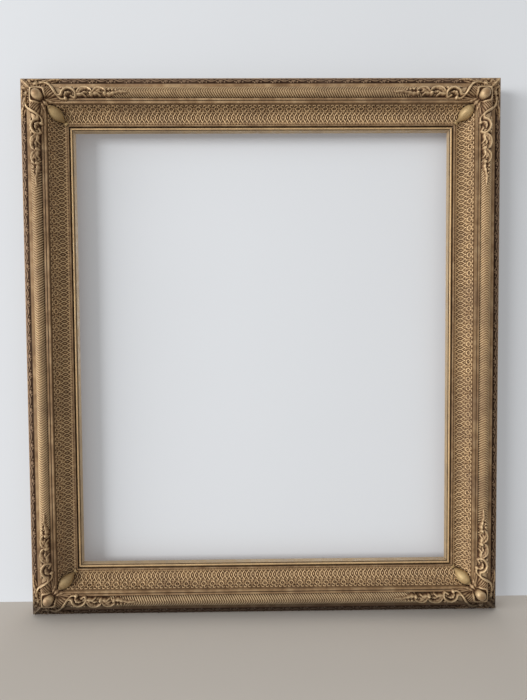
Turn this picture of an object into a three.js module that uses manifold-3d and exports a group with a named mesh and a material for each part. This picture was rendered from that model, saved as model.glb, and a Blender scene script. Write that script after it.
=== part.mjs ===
// A gilded picture frame: four mitred softwood rails, cast composition ornament on them, a gilt inner slip.
// Millimetres, +Z up, front towards -Y.
// Across a rail, u runs inward from its outer edge and v forward from its back.
import * as THREE from 'three';
import { mergeVertices } from 'three/addons/utils/BufferGeometryUtils.js';
import Module from 'manifold-3d';

const wasm = await Module();
wasm.setup();

// Overall size and working clearances
const FRAME_WIDTH = 640;
const FRAME_HEIGHT = 724;
const SEAT_GAP = 0.3; // glue line between a piece and its seat
const MITRE_GAP = 0.3;
const HOLE_GAP = 0.3; // around a nail, pin or screw

// Rail section, from the outer edge inward
const SIDE_HEIGHT = 27;
const CHAMFER_WIDTH = 13;
const CHAMFER_RISE = 8.6;
const RISER_HEIGHT = 4.4;
const FILLET_WIDTH = 5.5;
const UPPER_FILLET_WIDTH = 2.9;
const UPPER_FILLET_RISE = 3.2;
const QUIRK_WIDTH = 0.5; // sunk line between the two inner fillets
const QUIRK_RISE = 1.4;
const LOWER_FILLET_WIDTH = 2.6;
const LOWER_FILLET_RISE = 2.4;
const SCOOP_WIDTH = 21.7;
const SCOOP_DEPTH = 21;
const SCOOP_SWEEP = 2.05; // angle of its hollow, which turns up again past its floor, radians
const LIP_THICKNESS = 4.4;
const LIP_FILLET_WIDTH = 1.2;
const LIP_FILLET_RISE = 3.9; // above the scoop's floor
const LIP_FALL = 0.4; // slope of the lip's face towards the picture
const LIP_OVERHANG = 7.8; // how far the lip stands over the rebate

// Cast strips laid on the rails
const EDGE_STRIP_MARGIN = 0.7;
const EDGE_STRIP_CROWN = 2.8;
const TORUS_RADIUS = 6.9;
const TORUS_STILT = 1.5; // straight foot under the half-round
const TORUS_THICKNESS = 2;
const SCOOP_STRIP_THICKNESS = 1.4;
const SCOOP_STRIP_START = 0.16; // angle below the lower fillet, radians
const SCOOP_STRIP_STOP = 0.02; // angle short of the lip

// Inner slip
const SLIP_PLAY = 0.5;
const SLIP_FLANGE = 3.2;
const SLIP_QUIRK_WIDTH = 1.7; // sunk line between the lip and the bead
const SLIP_DROP = 2.2; // of the bead's middle below the lip
const SLIP_BEAD_RADIUS = 1.3;
const SLIP_GROOVE_WIDTH = 0.5;
const SLIP_GROOVE_DEPTH = 1;
const SIGHT_EDGE_WIDTH = 0.8;
const SIGHT_EDGE_DROP = 0.4;

// Cast corner: its places are drawn in steps of one grid, from the point where the two torus crests meet
const CAST_GRID = 1;
const WEB_THICKNESS = 1.3;
const BOSS_RADIUS = 6.6;
const BOSS_STRETCH = 1.14; // an egg, longer along the mitre
const BOSS_PLACE = 4.9; // along both arms, towards the picture
const RIB_RADIUS = 2.4;
const SCROLL_RADIUS = 2.3;
const SCROLLS = [ // three scrolls on an arm, each smaller than the last and growing out of it
  { start: 34, scale: 1 },
  { start: 57.4, scale: 0.82 },
  { start: 77.4, scale: 0.7 },
];
const BALL_RADIUS = 2.4; // in the first scroll
const TAIL_START = 90.4;
const TAIL_REACH = 120.4;
const TAIL_BEADS = 3;
const TAIL_RADIUS = 2.5;

// Smooth bud in the scoop
const BUD_RADIUS = 8.8;
const BUD_START = -0.3; // inward from the lower fillet
const BUD_DROP = 4.8; // below the lower fillet
const BUD_LIFT = 2.6; // of its point above the scoop's floor
const BUD_STOP = 4.1; // short of the lip

// Mitre nails and slip pins
const NAIL_LENGTH = 45;
const NAIL_RADIUS = 1;
const NAIL_HEAD_RADIUS = 2;
const NAIL_HEAD_HEIGHT = 0.8;
const NAIL_POINT = 3;
const NAIL_INSET = 14;
const ACROSS_NAIL_LEVEL = 9; // nails through the top and bottom rails
const UPRIGHT_NAIL_LEVEL = 18; // nails through the left and right rails
const PIN_RADIUS = 0.6;
const PIN_HEAD_RADIUS = 1.1;
const PIN_HEAD_HEIGHT = 0.5;
const PIN_BITE = 2.4; // into the lip
const PIN_INSET = 160;

// Strap hangers on the backs of the uprights
const HANGER_DROP = 240;
const STRAP_INSET = 8;
const STRAP_LENGTH = 28; // from its round end to the ring's axis
const STRAP_WIDTH = 11;
const STRAP_THICKNESS = 0.9;
const RING_WIRE_RADIUS = 1.2;
const RING_PLAY = 0.35; // in the rolled eye
const RING_HALF_WIDTH = 8;
const RING_LEG = 4;
const RING_CORNER = 1.4;
const SCREW_RADIUS = 1.4;
const SCREW_HEAD_RADIUS = 2.7;
const SCREW_HEAD_HEIGHT = 1.5;
const SCREW_LENGTH = 14;
const SCREW_POINT = 4;
const SCREW_PLACES = [5, 17]; // along the strap from its round end

// Stations across the rail (u) and levels above its back (v), worked out from the sizes above
const chamferTop = SIDE_HEIGHT + CHAMFER_RISE;
const filletLevel = chamferTop + RISER_HEIGHT;
const torusLevel = filletLevel + TORUS_STILT;
const torusMid = CHAMFER_WIDTH + FILLET_WIDTH + SEAT_GAP + TORUS_RADIUS;
const upperFilletStart = torusMid + TORUS_RADIUS + SEAT_GAP;
const upperFilletEnd = upperFilletStart + UPPER_FILLET_WIDTH;
const lowerFilletStart = upperFilletEnd + QUIRK_WIDTH;
const scoopStart = lowerFilletStart + LOWER_FILLET_WIDTH;
const scoopEnd = scoopStart + SCOOP_WIDTH;
const lipEdge = scoopEnd + LIP_FILLET_WIDTH;
const rebateWall = lipEdge - LIP_OVERHANG;
const upperFilletLevel = filletLevel + UPPER_FILLET_RISE;
const lowerFilletLevel = filletLevel + LOWER_FILLET_RISE;
const scoopFloor = lowerFilletLevel - SCOOP_DEPTH;
const lipTop = scoopFloor + LIP_FILLET_RISE;
const lipLevel = lipTop - LIP_FALL;
const rebateDepth = scoopFloor - LIP_THICKNESS;

// The scoop is part of an ellipse, with its middle over the floor
const scoopRadius = SCOOP_WIDTH / (1 - Math.cos(SCOOP_SWEEP));
const scoopMid = scoopStart + scoopRadius;

// Facets
const ROUND_STEPS = 12;
const HIDDEN_STEPS = 6; // in the bore of the torus strip and its core
const SMALL_SIDES = 6;
const BED_STEPS = 4; // in the faces that cast pieces are bedded on
const ROD_SIDES = 5;
const EYE_STEPS = 8;
const RING_STEPS = 24;

const gilt = () => new THREE.MeshStandardMaterial({ color: 0xa98658, roughness: 0.5, metalness: 0.6 });
const slipGilt = () => new THREE.MeshStandardMaterial({ color: 0xc39a60, roughness: 0.38, metalness: 0.7 });
const pine = () => new THREE.MeshStandardMaterial({ color: 0x9a7448, roughness: 0.8, metalness: 0 });
const iron = () => new THREE.MeshStandardMaterial({ color: 0x4d4743, roughness: 0.6, metalness: 0.9 });
const brass = () => new THREE.MeshStandardMaterial({ color: 0xa5843f, roughness: 0.42, metalness: 0.95 });

// A closed geometry as a solid that can be joined and cut
function solid(geometry) {
  const bare = new THREE.BufferGeometry();
  bare.setAttribute('position', geometry.getAttribute('position').clone());
  if (geometry.index) bare.setIndex(geometry.index.clone());
  const merged = mergeVertices(bare);
  const corners = merged.index.array;
  const triangles = [];
  for (let i = 0; i < corners.length; i += 3) {
    const [a, b, c] = [corners[i], corners[i + 1], corners[i + 2]];
    if (a !== b && b !== c && c !== a) triangles.push(a, b, c);
  }
  const vertProperties = Float32Array.from(merged.getAttribute('position').array);
  const triVerts = Uint32Array.from(triangles);
  return new wasm.Manifold(new wasm.Mesh({ numProp: 3, vertProperties, triVerts }));
}

function geometryOf(manifold) {
  const mesh = manifold.getMesh();
  const geometry = new THREE.BufferGeometry();
  geometry.setAttribute('position', new THREE.BufferAttribute(mesh.vertProperties, 3));
  geometry.setIndex(new THREE.BufferAttribute(mesh.triVerts, 1));
  geometry.computeVertexNormals();
  return geometry;
}

const joined = (geometries) => geometries.map(solid).reduce((whole, piece) => whole.add(piece));
const cutBy = (geometry, cutters) => geometryOf(solid(geometry).subtract(joined(cutters)));

// A section drawn from [u, v] points, with v as the shape's first axis
function section(points) {
  return new THREE.Shape(points.map(([u, v]) => new THREE.Vector2(v, u)));
}

function arc(midU, midV, radiusU, radiusV, from, to, steps = ROUND_STEPS) {
  return Array.from({ length: steps + 1 }, (_, i) => {
    const angle = from + ((to - from) * i) / steps;
    return [midU + radiusU * Math.cos(angle), midV + radiusV * Math.sin(angle)];
  });
}

// A bar of that section along X, its two ends shifted by endAt(u), placed with its outer edge on z = 0
function bar(shape, startAt, endAt) {
  const geometry = new THREE.ExtrudeGeometry(shape, { depth: 1, bevelEnabled: false });
  const place = geometry.getAttribute('position');
  for (let i = 0; i < place.count; i += 1) {
    const [v, u] = [place.getX(i), place.getY(i)];
    place.setXYZ(i, place.getZ(i) < 0.5 ? startAt(u) : endAt(u), -v, -u);
  }
  return geometry;
}

function mitredBar(shape, length) {
  const half = length / 2 - MITRE_GAP / Math.SQRT2;
  return bar(shape, (u) => u - half, (u) => half - u);
}

// Chord, crown and circle of the cushion-shaped edge strip, which lies on the chamfer
const edgeStrip = (() => {
  const slope = new THREE.Vector2(CHAMFER_WIDTH, CHAMFER_RISE);
  const along = slope.clone().normalize();
  const out = new THREE.Vector2(-along.y, along.x);
  const half = slope.length() / 2 - EDGE_STRIP_MARGIN;
  const radius = (half * half + EDGE_STRIP_CROWN * EDGE_STRIP_CROWN) / (2 * EDGE_STRIP_CROWN);
  const middle = new THREE.Vector2(0, SIDE_HEIGHT).addScaledVector(slope, 0.5);
  middle.addScaledVector(out, SEAT_GAP + EDGE_STRIP_CROWN - radius);
  return { middle, radius, facing: out.angle(), spread: Math.asin(half / radius) };
})();

function edgeStripArc(radius, steps) {
  const { middle, facing, spread } = edgeStrip;
  return arc(middle.x, middle.y, radius, radius, facing + spread, facing - spread, steps);
}

function torusArc(radius, from = Math.PI, to = 0, steps = ROUND_STEPS) {
  return arc(torusMid, torusLevel, radius, radius, from, to, steps);
}

function scoopArc(inset, from, to) {
  return arc(scoopMid, lowerFilletLevel, inset - scoopRadius, inset - SCOOP_DEPTH, from, to);
}

function railSection() {
  const core = TORUS_RADIUS - TORUS_THICKNESS - SEAT_GAP;
  return section([
    [0, 0],
    [0, SIDE_HEIGHT],
    [CHAMFER_WIDTH, chamferTop],
    [CHAMFER_WIDTH, filletLevel],
    [torusMid - core, filletLevel],
    ...torusArc(core, Math.PI, 0, HIDDEN_STEPS),
    [torusMid + core, filletLevel],
    [upperFilletStart, filletLevel],
    [upperFilletStart, upperFilletLevel],
    [upperFilletEnd, upperFilletLevel],
    [upperFilletEnd, filletLevel + QUIRK_RISE],
    [lowerFilletStart, filletLevel + QUIRK_RISE],
    [lowerFilletStart, lowerFilletLevel],
    ...scoopArc(0, 0, SCOOP_SWEEP),
    [scoopEnd, lipTop],
    [lipEdge, lipLevel],
    [lipEdge, rebateDepth],
    [rebateWall, rebateDepth],
    [rebateWall, 0],
  ]);
}

const edgeStripSection = () => section(edgeStripArc(edgeStrip.radius, SMALL_SIDES));

function torusStripSection() {
  const foot = filletLevel + SEAT_GAP;
  const bore = TORUS_RADIUS - TORUS_THICKNESS;
  return section([
    [torusMid - TORUS_RADIUS, foot],
    ...torusArc(TORUS_RADIUS),
    [torusMid + TORUS_RADIUS, foot],
    [torusMid + bore, foot],
    ...torusArc(bore, 0, Math.PI, HIDDEN_STEPS),
    [torusMid - bore, foot],
  ]);
}

function scoopStripSection() {
  const end = SCOOP_SWEEP - SCOOP_STRIP_STOP;
  const face = scoopArc(SEAT_GAP + SCOOP_STRIP_THICKNESS, SCOOP_STRIP_START, end);
  return section([...face, ...scoopArc(SEAT_GAP, end, SCOOP_STRIP_START)]);
}

const slip = (() => {
  const front = rebateDepth - SEAT_GAP;
  const beadStart = lipEdge + SLIP_QUIRK_WIDTH;
  const beadEnd = beadStart + 2 * SLIP_BEAD_RADIUS;
  const sightStart = beadEnd + SLIP_GROOVE_WIDTH;
  const outer = rebateWall + SLIP_PLAY;
  const level = lipLevel - SLIP_DROP;
  return { front, back: front - SLIP_FLANGE, outer, beadStart, beadEnd, sightStart, level };
})();

function slipSection() {
  const groove = slip.level - SLIP_GROOVE_DEPTH;
  const sightLevel = slip.level - SIGHT_EDGE_DROP;
  const sightEnd = slip.sightStart + SIGHT_EDGE_WIDTH;
  const radius = SLIP_BEAD_RADIUS;
  return section([
    [slip.outer, slip.back],
    [slip.outer, slip.front],
    [slip.beadStart, slip.front],
    ...arc(slip.beadStart + radius, slip.level, radius, radius, Math.PI, 0, SMALL_SIDES + 2),
    [slip.beadEnd, groove],
    [slip.sightStart, groove],
    [slip.sightStart, sightLevel],
    [sightEnd, sightLevel],
    [sightEnd, slip.back],
  ]);
}

// The finished face of the whole moulding, raised by an offset: what a cast corner or bud is bedded on.
// It has few facets, so its round stretches are widened to clear the rounder strips below.
function skinSection(offset) {
  const { middle, radius, facing, spread } = edgeStrip;
  const edge = (radius + offset) / Math.cos(spread / BED_STEPS);
  const torus = (TORUS_RADIUS + offset) / Math.cos(Math.PI / 2 / BED_STEPS);
  const riser = CHAMFER_WIDTH - offset;
  const edgeEnd = Math.acos((riser - middle.x) / edge);
  const upper = upperFilletLevel + offset;
  const lower = lowerFilletLevel + offset;
  const beside = 6; // past the outer edge
  return section([
    [-beside, 0],
    [-beside, SIDE_HEIGHT + offset],
    ...arc(middle.x, middle.y, edge, edge, facing + spread, edgeEnd, BED_STEPS),
    [riser, filletLevel + offset],
    [torusMid - torus, filletLevel + offset],
    ...torusArc(torus, Math.PI, Math.asin((upper - torusLevel) / torus), BED_STEPS),
    [upperFilletEnd + offset, upper],
    [upperFilletEnd + offset, lower],
    [scoopStart + offset, lower],
    ...scoopArc(SEAT_GAP + SCOOP_STRIP_THICKNESS + offset, SCOOP_STRIP_START, SCOOP_SWEEP),
    [scoopEnd, lipTop + offset],
    [lipEdge, lipLevel + offset],
    [lipEdge, 0],
  ]);
}

// Height of that finished face on the outer half of the rail, where the cast corner lies.
// The corner bridges the valley between the edge strip and the fillet.
function skinLevel(u) {
  const bridge = 3.5;
  const aside = Math.abs(u - torusMid);
  if (aside < TORUS_RADIUS) return torusLevel + Math.sqrt(TORUS_RADIUS ** 2 - aside ** 2);
  if (u > torusMid) return upperFilletLevel;
  if (u > CHAMFER_WIDTH - bridge) return filletLevel;
  const { middle, radius } = edgeStrip;
  return middle.y + Math.sqrt(radius ** 2 - (u - middle.x) ** 2);
}

// The corner's own frame: origin at the outer corner, one arm along +X, the other along -Z
function mirroredArm(geometry) {
  const copy = geometry.index ? geometry.toNonIndexed() : geometry.clone();
  const place = copy.getAttribute('position');
  const swapped = new Float32Array(place.array.length);
  for (let i = 0; i < place.count; i += 1) {
    const from = i % 3 === 1 ? i + 1 : i % 3 === 2 ? i - 1 : i;
    swapped.set([-place.getZ(from), place.getY(from), -place.getX(from)], 3 * i);
  }
  const mirrored = new THREE.BufferGeometry();
  mirrored.setAttribute('position', new THREE.BufferAttribute(swapped, 3));
  return mirrored;
}

const bothArms = (geometries) => [...geometries, ...geometries.map(mirroredArm)];

function cornerSkin(offset) {
  const past = 0.05; // the two arms lap at the mitre
  const reach = torusMid + TAIL_REACH * CAST_GRID + BOSS_RADIUS;
  const arm = bar(skinSection(offset), (u) => u - past, () => reach);
  return joined(bothArms([arm]));
}

// A point on the corner: along and across an arm from where the crests cross, lifted off the finished face
function spot([along, across, lift]) {
  const u = torusMid + across * CAST_GRID;
  return new THREE.Vector3(torusMid + along * CAST_GRID, -(skinLevel(u) + lift * CAST_GRID), -u);
}

// A closed rod along a curve over the moulding, its radius a share of the given one at each step
function castRod(places, radius, swell, steps) {
  const route = new THREE.CatmullRomCurve3(places.map(spot), false, 'centripetal');
  const up = new THREE.Vector3(0, -1, 0);
  const rings = [];
  for (let i = 0; i <= steps; i += 1) {
    const middle = route.getPointAt(i / steps);
    const aside = route.getTangentAt(i / steps).cross(up).normalize();
    const thick = radius * swell(i / steps);
    for (let j = 0; j < ROD_SIDES; j += 1) {
      const angle = Math.PI / 2 - (2 * Math.PI * j) / ROD_SIDES;
      const rim = middle.clone().addScaledVector(aside, thick * Math.cos(angle));
      rings.push(...rim.addScaledVector(up, thick * Math.sin(angle)).toArray());
    }
  }
  const triangles = [];
  for (let i = 0; i < steps * ROD_SIDES; i += 1) {
    const next = i % ROD_SIDES === ROD_SIDES - 1 ? i + 1 - ROD_SIDES : i + 1;
    triangles.push(i, next, i + ROD_SIDES, next, next + ROD_SIDES, i + ROD_SIDES);
  }
  const last = steps * ROD_SIDES;
  for (let j = 1; j < ROD_SIDES - 1; j += 1) {
    triangles.push(0, j + 1, j, last, last + j, last + j + 1);
  }
  const geometry = new THREE.BufferGeometry();
  geometry.setAttribute('position', new THREE.Float32BufferAttribute(rings, 3));
  geometry.setIndex(triangles);
  return geometry;
}

const plain = () => 1;
const scrollSwell = (t) => 0.55 + 0.45 * Math.sin(Math.PI * t ** 0.8);
const beadSwell = (t) => (1 - 0.4 * t) * (0.45 + 0.55 * Math.abs(Math.sin(TAIL_BEADS * Math.PI * t)));

// A C-scroll that leaves the piece before it, rises over the torus and curls in on itself
function castScroll({ start, scale }) {
  const rise = [[-4.5, 4.9], [1, 4.9], [4.5, 0.4], [10.5, -3.1]];
  const curl = [...rise, [17, -1.1], [20.5, 3.4], [18, 7.4], [13.5, 5.9]];
  const places = curl.map(([along, across]) => [start + along * scale, across * scale, 1.2 * scale]);
  return castRod(places, SCROLL_RADIUS * scale, scrollSwell, 8);
}

// One arm of the cast corner: hood rib round the boss, S-rib, scrolls with a ball in the first, beaded tail
function cornerArm() {
  const hood = [[-3.6, -3.6, 2.2], [7.4, -1.1, 2.6], [13.4, 4.4, 2.8], [13.4, 11.4, 2]];
  const stem = [[11.4, -16.6, 1.4], [17.4, -9.6, 2.6], [25.4, -2.1, 2.2]];
  const rib = [...stem, [30.4, 4.9, 1.8], [35.4, 8.9, 1], [41.4, 8.9, 1]];
  const tail = [[TAIL_START, 2.4, 0.6], [TAIL_REACH, 1.9, 0.6]];
  const ball = new THREE.SphereGeometry(BALL_RADIUS, SMALL_SIDES, 4);
  ball.translate(...spot([40.4, 8.4, 1.4]).toArray());
  return [
    castRod(hood, RIB_RADIUS, plain, 4),
    castRod(rib, RIB_RADIUS, plain, 6),
    ...SCROLLS.map(castScroll),
    castRod(tail, TAIL_RADIUS, beadSwell, 2 * TAIL_BEADS),
    ball,
  ];
}

// The thin web of the cast corner: its plan outline, from the corner's tip round both arms
function webPrism() {
  const tip = 2.2;
  const place = ([along, across]) => [torusMid + along * CAST_GRID, torusMid + across * CAST_GRID];
  const band = [[CHAMFER_WIDTH + FILLET_WIDTH, tip], [torusMid + 10.4 * CAST_GRID, tip]];
  const inward = [[17.4, -9.6], [26.4, -1.6], [35.4, 9.4], [24.4, 10.4], [13.4, 13.4]];
  const arm = [...band, ...inward.map(place)];
  const outline = [[tip, tip], ...arm, ...arm.toReversed().slice(1).map(([x, u]) => [u, x])];
  const plan = new THREE.Shape(outline.map(([x, u]) => new THREE.Vector2(x, -u)));
  const depth = torusLevel + 2 * TORUS_RADIUS;
  return new THREE.ExtrudeGeometry(plan, { depth, bevelEnabled: false }).rotateX(Math.PI / 2);
}

function cornerOrnament(bed) {
  const web = solid(webPrism()).intersect(cornerSkin(SEAT_GAP + WEB_THICKNESS));
  const middle = spot([BOSS_PLACE, BOSS_PLACE, BOSS_RADIUS / (2 * CAST_GRID)]);
  const boss = new THREE.SphereGeometry(BOSS_RADIUS, ROUND_STEPS, SMALL_SIDES);
  boss.scale(BOSS_STRETCH, 1, 1).rotateY(Math.PI / 4).translate(...middle.toArray());
  return geometryOf(web.add(joined([boss, ...bothArms(cornerArm())])).subtract(bed));
}

// A smooth bud lying along the mitre in the scoop, its round end outward and its point at the sight corner
function scoopBud(bed) {
  const at = (u, v) => new THREE.Vector3(u, -v, -u);
  const butt = at(scoopStart + BUD_START, lowerFilletLevel - BUD_DROP);
  const point = at(scoopEnd - BUD_STOP, scoopFloor + SCOOP_STRIP_THICKNESS + BUD_LIFT);
  const axis = point.clone().sub(butt);
  const steps = 7;
  const outline = Array.from({ length: steps + 1 }, (_, i) => {
    const t = i / steps;
    const radius = i === 0 || i === steps ? 0 : BUD_RADIUS * Math.sin(Math.PI * t ** 0.72);
    return new THREE.Vector2(radius, axis.length() * t);
  });
  const heading = axis.clone().normalize();
  const turn = new THREE.Quaternion().setFromUnitVectors(new THREE.Vector3(0, 1, 0), heading);
  const bud = new THREE.LatheGeometry(outline, ROUND_STEPS).applyQuaternion(turn);
  bud.translate(...butt.toArray());
  return geometryOf(solid(bud).subtract(bed));
}

// A fastener along +Y from its head's top, with a pointed end
function fastener({ headRadius, headHeight, radius, length, point, domed = false }) {
  const crown = domed ? [[0, 0], [headRadius * 0.6, headHeight * 0.2]] : [[0, 0], [headRadius, 0]];
  const shank = [[headRadius, headHeight], [radius, headHeight], [radius, length - point], [0, length]];
  const outline = [...crown, ...shank].map(([x, y]) => new THREE.Vector2(x, y));
  return new THREE.LatheGeometry(outline, SMALL_SIDES);
}

const nail = () => fastener({
  headRadius: NAIL_HEAD_RADIUS, headHeight: NAIL_HEAD_HEIGHT, radius: NAIL_RADIUS, length: NAIL_LENGTH,
  point: NAIL_POINT,
});

const pinLength = SLIP_FLANGE + SEAT_GAP + PIN_BITE;
const pin = () => fastener({
  headRadius: PIN_HEAD_RADIUS, headHeight: PIN_HEAD_HEIGHT, radius: PIN_RADIUS, length: pinLength,
  point: PIN_RADIUS,
});

const screw = () => fastener({
  headRadius: SCREW_HEAD_RADIUS, headHeight: SCREW_HEAD_HEIGHT, radius: SCREW_RADIUS, length: SCREW_LENGTH,
  point: SCREW_POINT, domed: true,
});

// A hole along +Y from the origin, wider at its mouth where a head sits in it
function hole(radius, depth, mouthRadius = radius, mouthDepth = depth / 2) {
  const over = 1; // past the face it is bored from
  const mouth = [[0, -over], [mouthRadius, -over], [mouthRadius, mouthDepth]];
  const shank = [[radius, mouthDepth], [radius, depth], [0, depth]];
  const outline = [...mouth, ...shank].map(([x, y]) => new THREE.Vector2(x, y));
  return new THREE.LatheGeometry(outline, SMALL_SIDES);
}

const nailHole = () => hole(
  NAIL_RADIUS + HOLE_GAP,
  NAIL_LENGTH + 2 * HOLE_GAP,
  NAIL_HEAD_RADIUS + HOLE_GAP,
  NAIL_HEAD_HEIGHT + 2 * HOLE_GAP,
);
const pinHole = () => hole(
  PIN_RADIUS + HOLE_GAP,
  pinLength + 2 * HOLE_GAP,
  PIN_HEAD_RADIUS + HOLE_GAP,
  PIN_HEAD_HEIGHT + 2 * HOLE_GAP,
);

const INTO_RAIL = -Math.PI / 2; // turns a fastener's +Y to -Z, from the outer edge inward
const FORWARD = Math.PI; // turns it to -Y, from the back towards the front

// In a rail's own frame: nails through its outer edge at both ends, and the neighbours' nails along it
function placeOwnNail(geometry, length, end, level, sunk) {
  return geometry.rotateX(INTO_RAIL).translate(end * (length / 2 - NAIL_INSET), -level, -sunk);
}

function placeNeighbourNail(geometry, length, end, level) {
  return geometry.rotateZ((end * Math.PI) / 2).translate((end * length) / 2, -level, -NAIL_INSET);
}

function placePin(geometry, length, end, sunk) {
  const u = (slip.outer + lipEdge) / 2;
  return geometry.rotateX(FORWARD).translate(end * (length / 2 - PIN_INSET), -slip.back - sunk, -u);
}

const ringAxis = STRAP_INSET + STRAP_LENGTH;
const eyeRadius = RING_WIRE_RADIUS + RING_PLAY + STRAP_THICKNESS;
const eyeHeight = eyeRadius + SEAT_GAP;

function placeScrew(geometry, along, place, height) {
  return geometry.rotateX(FORWARD).translate(along, height, -(STRAP_INSET + place));
}

// The strap's side view: a flat tongue rolled into an eye at its inner end
function strapSide() {
  const side = new THREE.Shape();
  const meet = Math.PI + Math.asin(1 - STRAP_THICKNESS / eyeRadius);
  side.moveTo(STRAP_INSET, SEAT_GAP);
  side.lineTo(ringAxis, SEAT_GAP);
  side.absarc(ringAxis, eyeHeight, eyeRadius, -Math.PI / 2, meet, false);
  side.lineTo(STRAP_INSET, SEAT_GAP + STRAP_THICKNESS);
  side.closePath();
  const bore = RING_WIRE_RADIUS + RING_PLAY;
  side.holes.push(new THREE.Path().absarc(ringAxis, eyeHeight, bore, 0, 2 * Math.PI));
  return side;
}

// The strap's plan: round at its outer end
function strapPlan() {
  const half = STRAP_WIDTH / 2;
  const end = ringAxis + 2 * eyeRadius;
  const plan = new THREE.Shape();
  plan.absarc(STRAP_INSET + half, 0, half, Math.PI / 2, (3 * Math.PI) / 2, false);
  plan.lineTo(end, -half);
  plan.lineTo(end, half);
  return plan;
}

function hangerStrap(along) {
  const across = { depth: STRAP_WIDTH, bevelEnabled: false, curveSegments: EYE_STEPS };
  const strap = new THREE.ExtrudeGeometry(strapSide(), across).translate(0, 0, -STRAP_WIDTH / 2);
  const through = { depth: 4 * eyeRadius, bevelEnabled: false, curveSegments: SMALL_SIDES };
  const outline = new THREE.ExtrudeGeometry(strapPlan(), through).rotateX(Math.PI / 2);
  outline.translate(0, 3 * eyeRadius, 0);
  for (const geometry of [strap, outline]) geometry.rotateY(Math.PI / 2).translate(along, 0, 0);
  const clearance = () => hole(SCREW_RADIUS + HOLE_GAP, SCREW_LENGTH);
  const holes = SCREW_PLACES.map((place) => placeScrew(clearance(), along, place, eyeRadius));
  return geometryOf(solid(strap).intersect(solid(outline)).subtract(joined(holes)));
}

// A D-shaped ring: a straight bar in the eye, two legs and a half-round end
class RingPath extends THREE.Curve {
  constructor() {
    super();
    this.plan = new THREE.Path();
    const turn = RING_HALF_WIDTH - RING_CORNER;
    this.plan.moveTo(0, 0);
    this.plan.lineTo(turn, 0);
    this.plan.absarc(turn, RING_CORNER, RING_CORNER, -Math.PI / 2, 0, false);
    this.plan.absarc(0, RING_LEG, RING_HALF_WIDTH, 0, Math.PI, false);
    this.plan.absarc(-turn, RING_CORNER, RING_CORNER, Math.PI, (3 * Math.PI) / 2, false);
    this.plan.lineTo(0, 0);
  }

  getPoint(t) {
    const { x, y } = this.plan.getPoint(t % 1);
    return new THREE.Vector3(x, 0, -y);
  }
}

function hangerRing(along) {
  const ring = new THREE.TubeGeometry(new RingPath(), RING_STEPS, RING_WIRE_RADIUS, SMALL_SIDES, true);
  return ring.translate(along, eyeHeight, -ringAxis);
}

// Sides of the frame: turn about Y, outer length, middle of the outer edge, names of the ends at -X and +X
const SIDES = {
  top: { turn: 0, length: FRAME_WIDTH, edge: [0, 0, FRAME_HEIGHT], ends: ['left', 'right'], upright: false },
  bottom: { turn: Math.PI, length: FRAME_WIDTH, edge: [0, 0, 0], ends: ['right', 'left'], upright: false },
  left: {
    turn: -Math.PI / 2, length: FRAME_HEIGHT, edge: [-FRAME_WIDTH / 2, 0, FRAME_HEIGHT / 2],
    ends: ['bottom', 'top'], upright: true,
  },
  right: {
    turn: Math.PI / 2, length: FRAME_HEIGHT, edge: [FRAME_WIDTH / 2, 0, FRAME_HEIGHT / 2],
    ends: ['top', 'bottom'], upright: true,
  },
};

const CORNERS = {
  top_left: { turn: 0, place: [-FRAME_WIDTH / 2, 0, FRAME_HEIGHT] },
  top_right: { turn: Math.PI / 2, place: [FRAME_WIDTH / 2, 0, FRAME_HEIGHT] },
  bottom_right: { turn: Math.PI, place: [FRAME_WIDTH / 2, 0, 0] },
  bottom_left: { turn: -Math.PI / 2, place: [-FRAME_WIDTH / 2, 0, 0] },
};

function addPiece(group, name, geometry, material) {
  const mesh = new THREE.Mesh(geometry, material);
  mesh.name = name;
  group.add(mesh);
}

function addHanger(group, side, along) {
  addPiece(group, `hanger_strap_${side}`, hangerStrap(along), brass());
  addPiece(group, `hanger_ring_${side}`, hangerRing(along), brass());
  const seat = 2 * SEAT_GAP + STRAP_THICKNESS + SCREW_HEAD_HEIGHT;
  SCREW_PLACES.forEach((place, i) => {
    const name = `hanger_screw_${side}_${['outer', 'inner'][i]}`;
    addPiece(group, name, placeScrew(screw(), along, place, seat), brass());
  });
}

function buildSide(name, { turn, length, edge, ends, upright }) {
  const group = new THREE.Group();
  const ownLevel = upright ? UPRIGHT_NAIL_LEVEL : ACROSS_NAIL_LEVEL;
  const otherLevel = upright ? ACROSS_NAIL_LEVEL : UPRIGHT_NAIL_LEVEL;
  const pinHoles = [-1, 1].map((end) => placePin(pinHole(), length, end, 0));
  const bores = [-1, 1].flatMap((end) => [
    placeOwnNail(nailHole(), length, end, ownLevel, 0),
    placeNeighbourNail(nailHole(), length, end, otherLevel),
  ]);
  const hangerAlong = (length / 2 - HANGER_DROP) * (ends[1] === 'top' ? 1 : -1);
  if (upright) {
    const pilot = () => hole(SCREW_RADIUS + HOLE_GAP, SCREW_LENGTH);
    bores.push(...SCREW_PLACES.map((place) => placeScrew(pilot(), hangerAlong, place, 0)));
  }
  addPiece(group, `rail_${name}`, cutBy(mitredBar(railSection(), length), [...bores, ...pinHoles]), pine());
  addPiece(group, `edge_strip_${name}`, mitredBar(edgeStripSection(), length), gilt());
  addPiece(group, `torus_strip_${name}`, mitredBar(torusStripSection(), length), gilt());
  addPiece(group, `scoop_strip_${name}`, mitredBar(scoopStripSection(), length), gilt());
  addPiece(group, `slip_${name}`, cutBy(mitredBar(slipSection(), length), pinHoles), slipGilt());
  [-1, 1].forEach((end, i) => {
    const place = `${name}_${ends[i]}`;
    addPiece(group, `mitre_nail_${place}`, placeOwnNail(nail(), length, end, ownLevel, HOLE_GAP), iron());
    addPiece(group, `slip_pin_${place}`, placePin(pin(), length, end, HOLE_GAP), iron());
  });
  if (upright) addHanger(group, name, hangerAlong);
  group.rotation.y = turn;
  group.position.set(...edge);
  return group;
}

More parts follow.
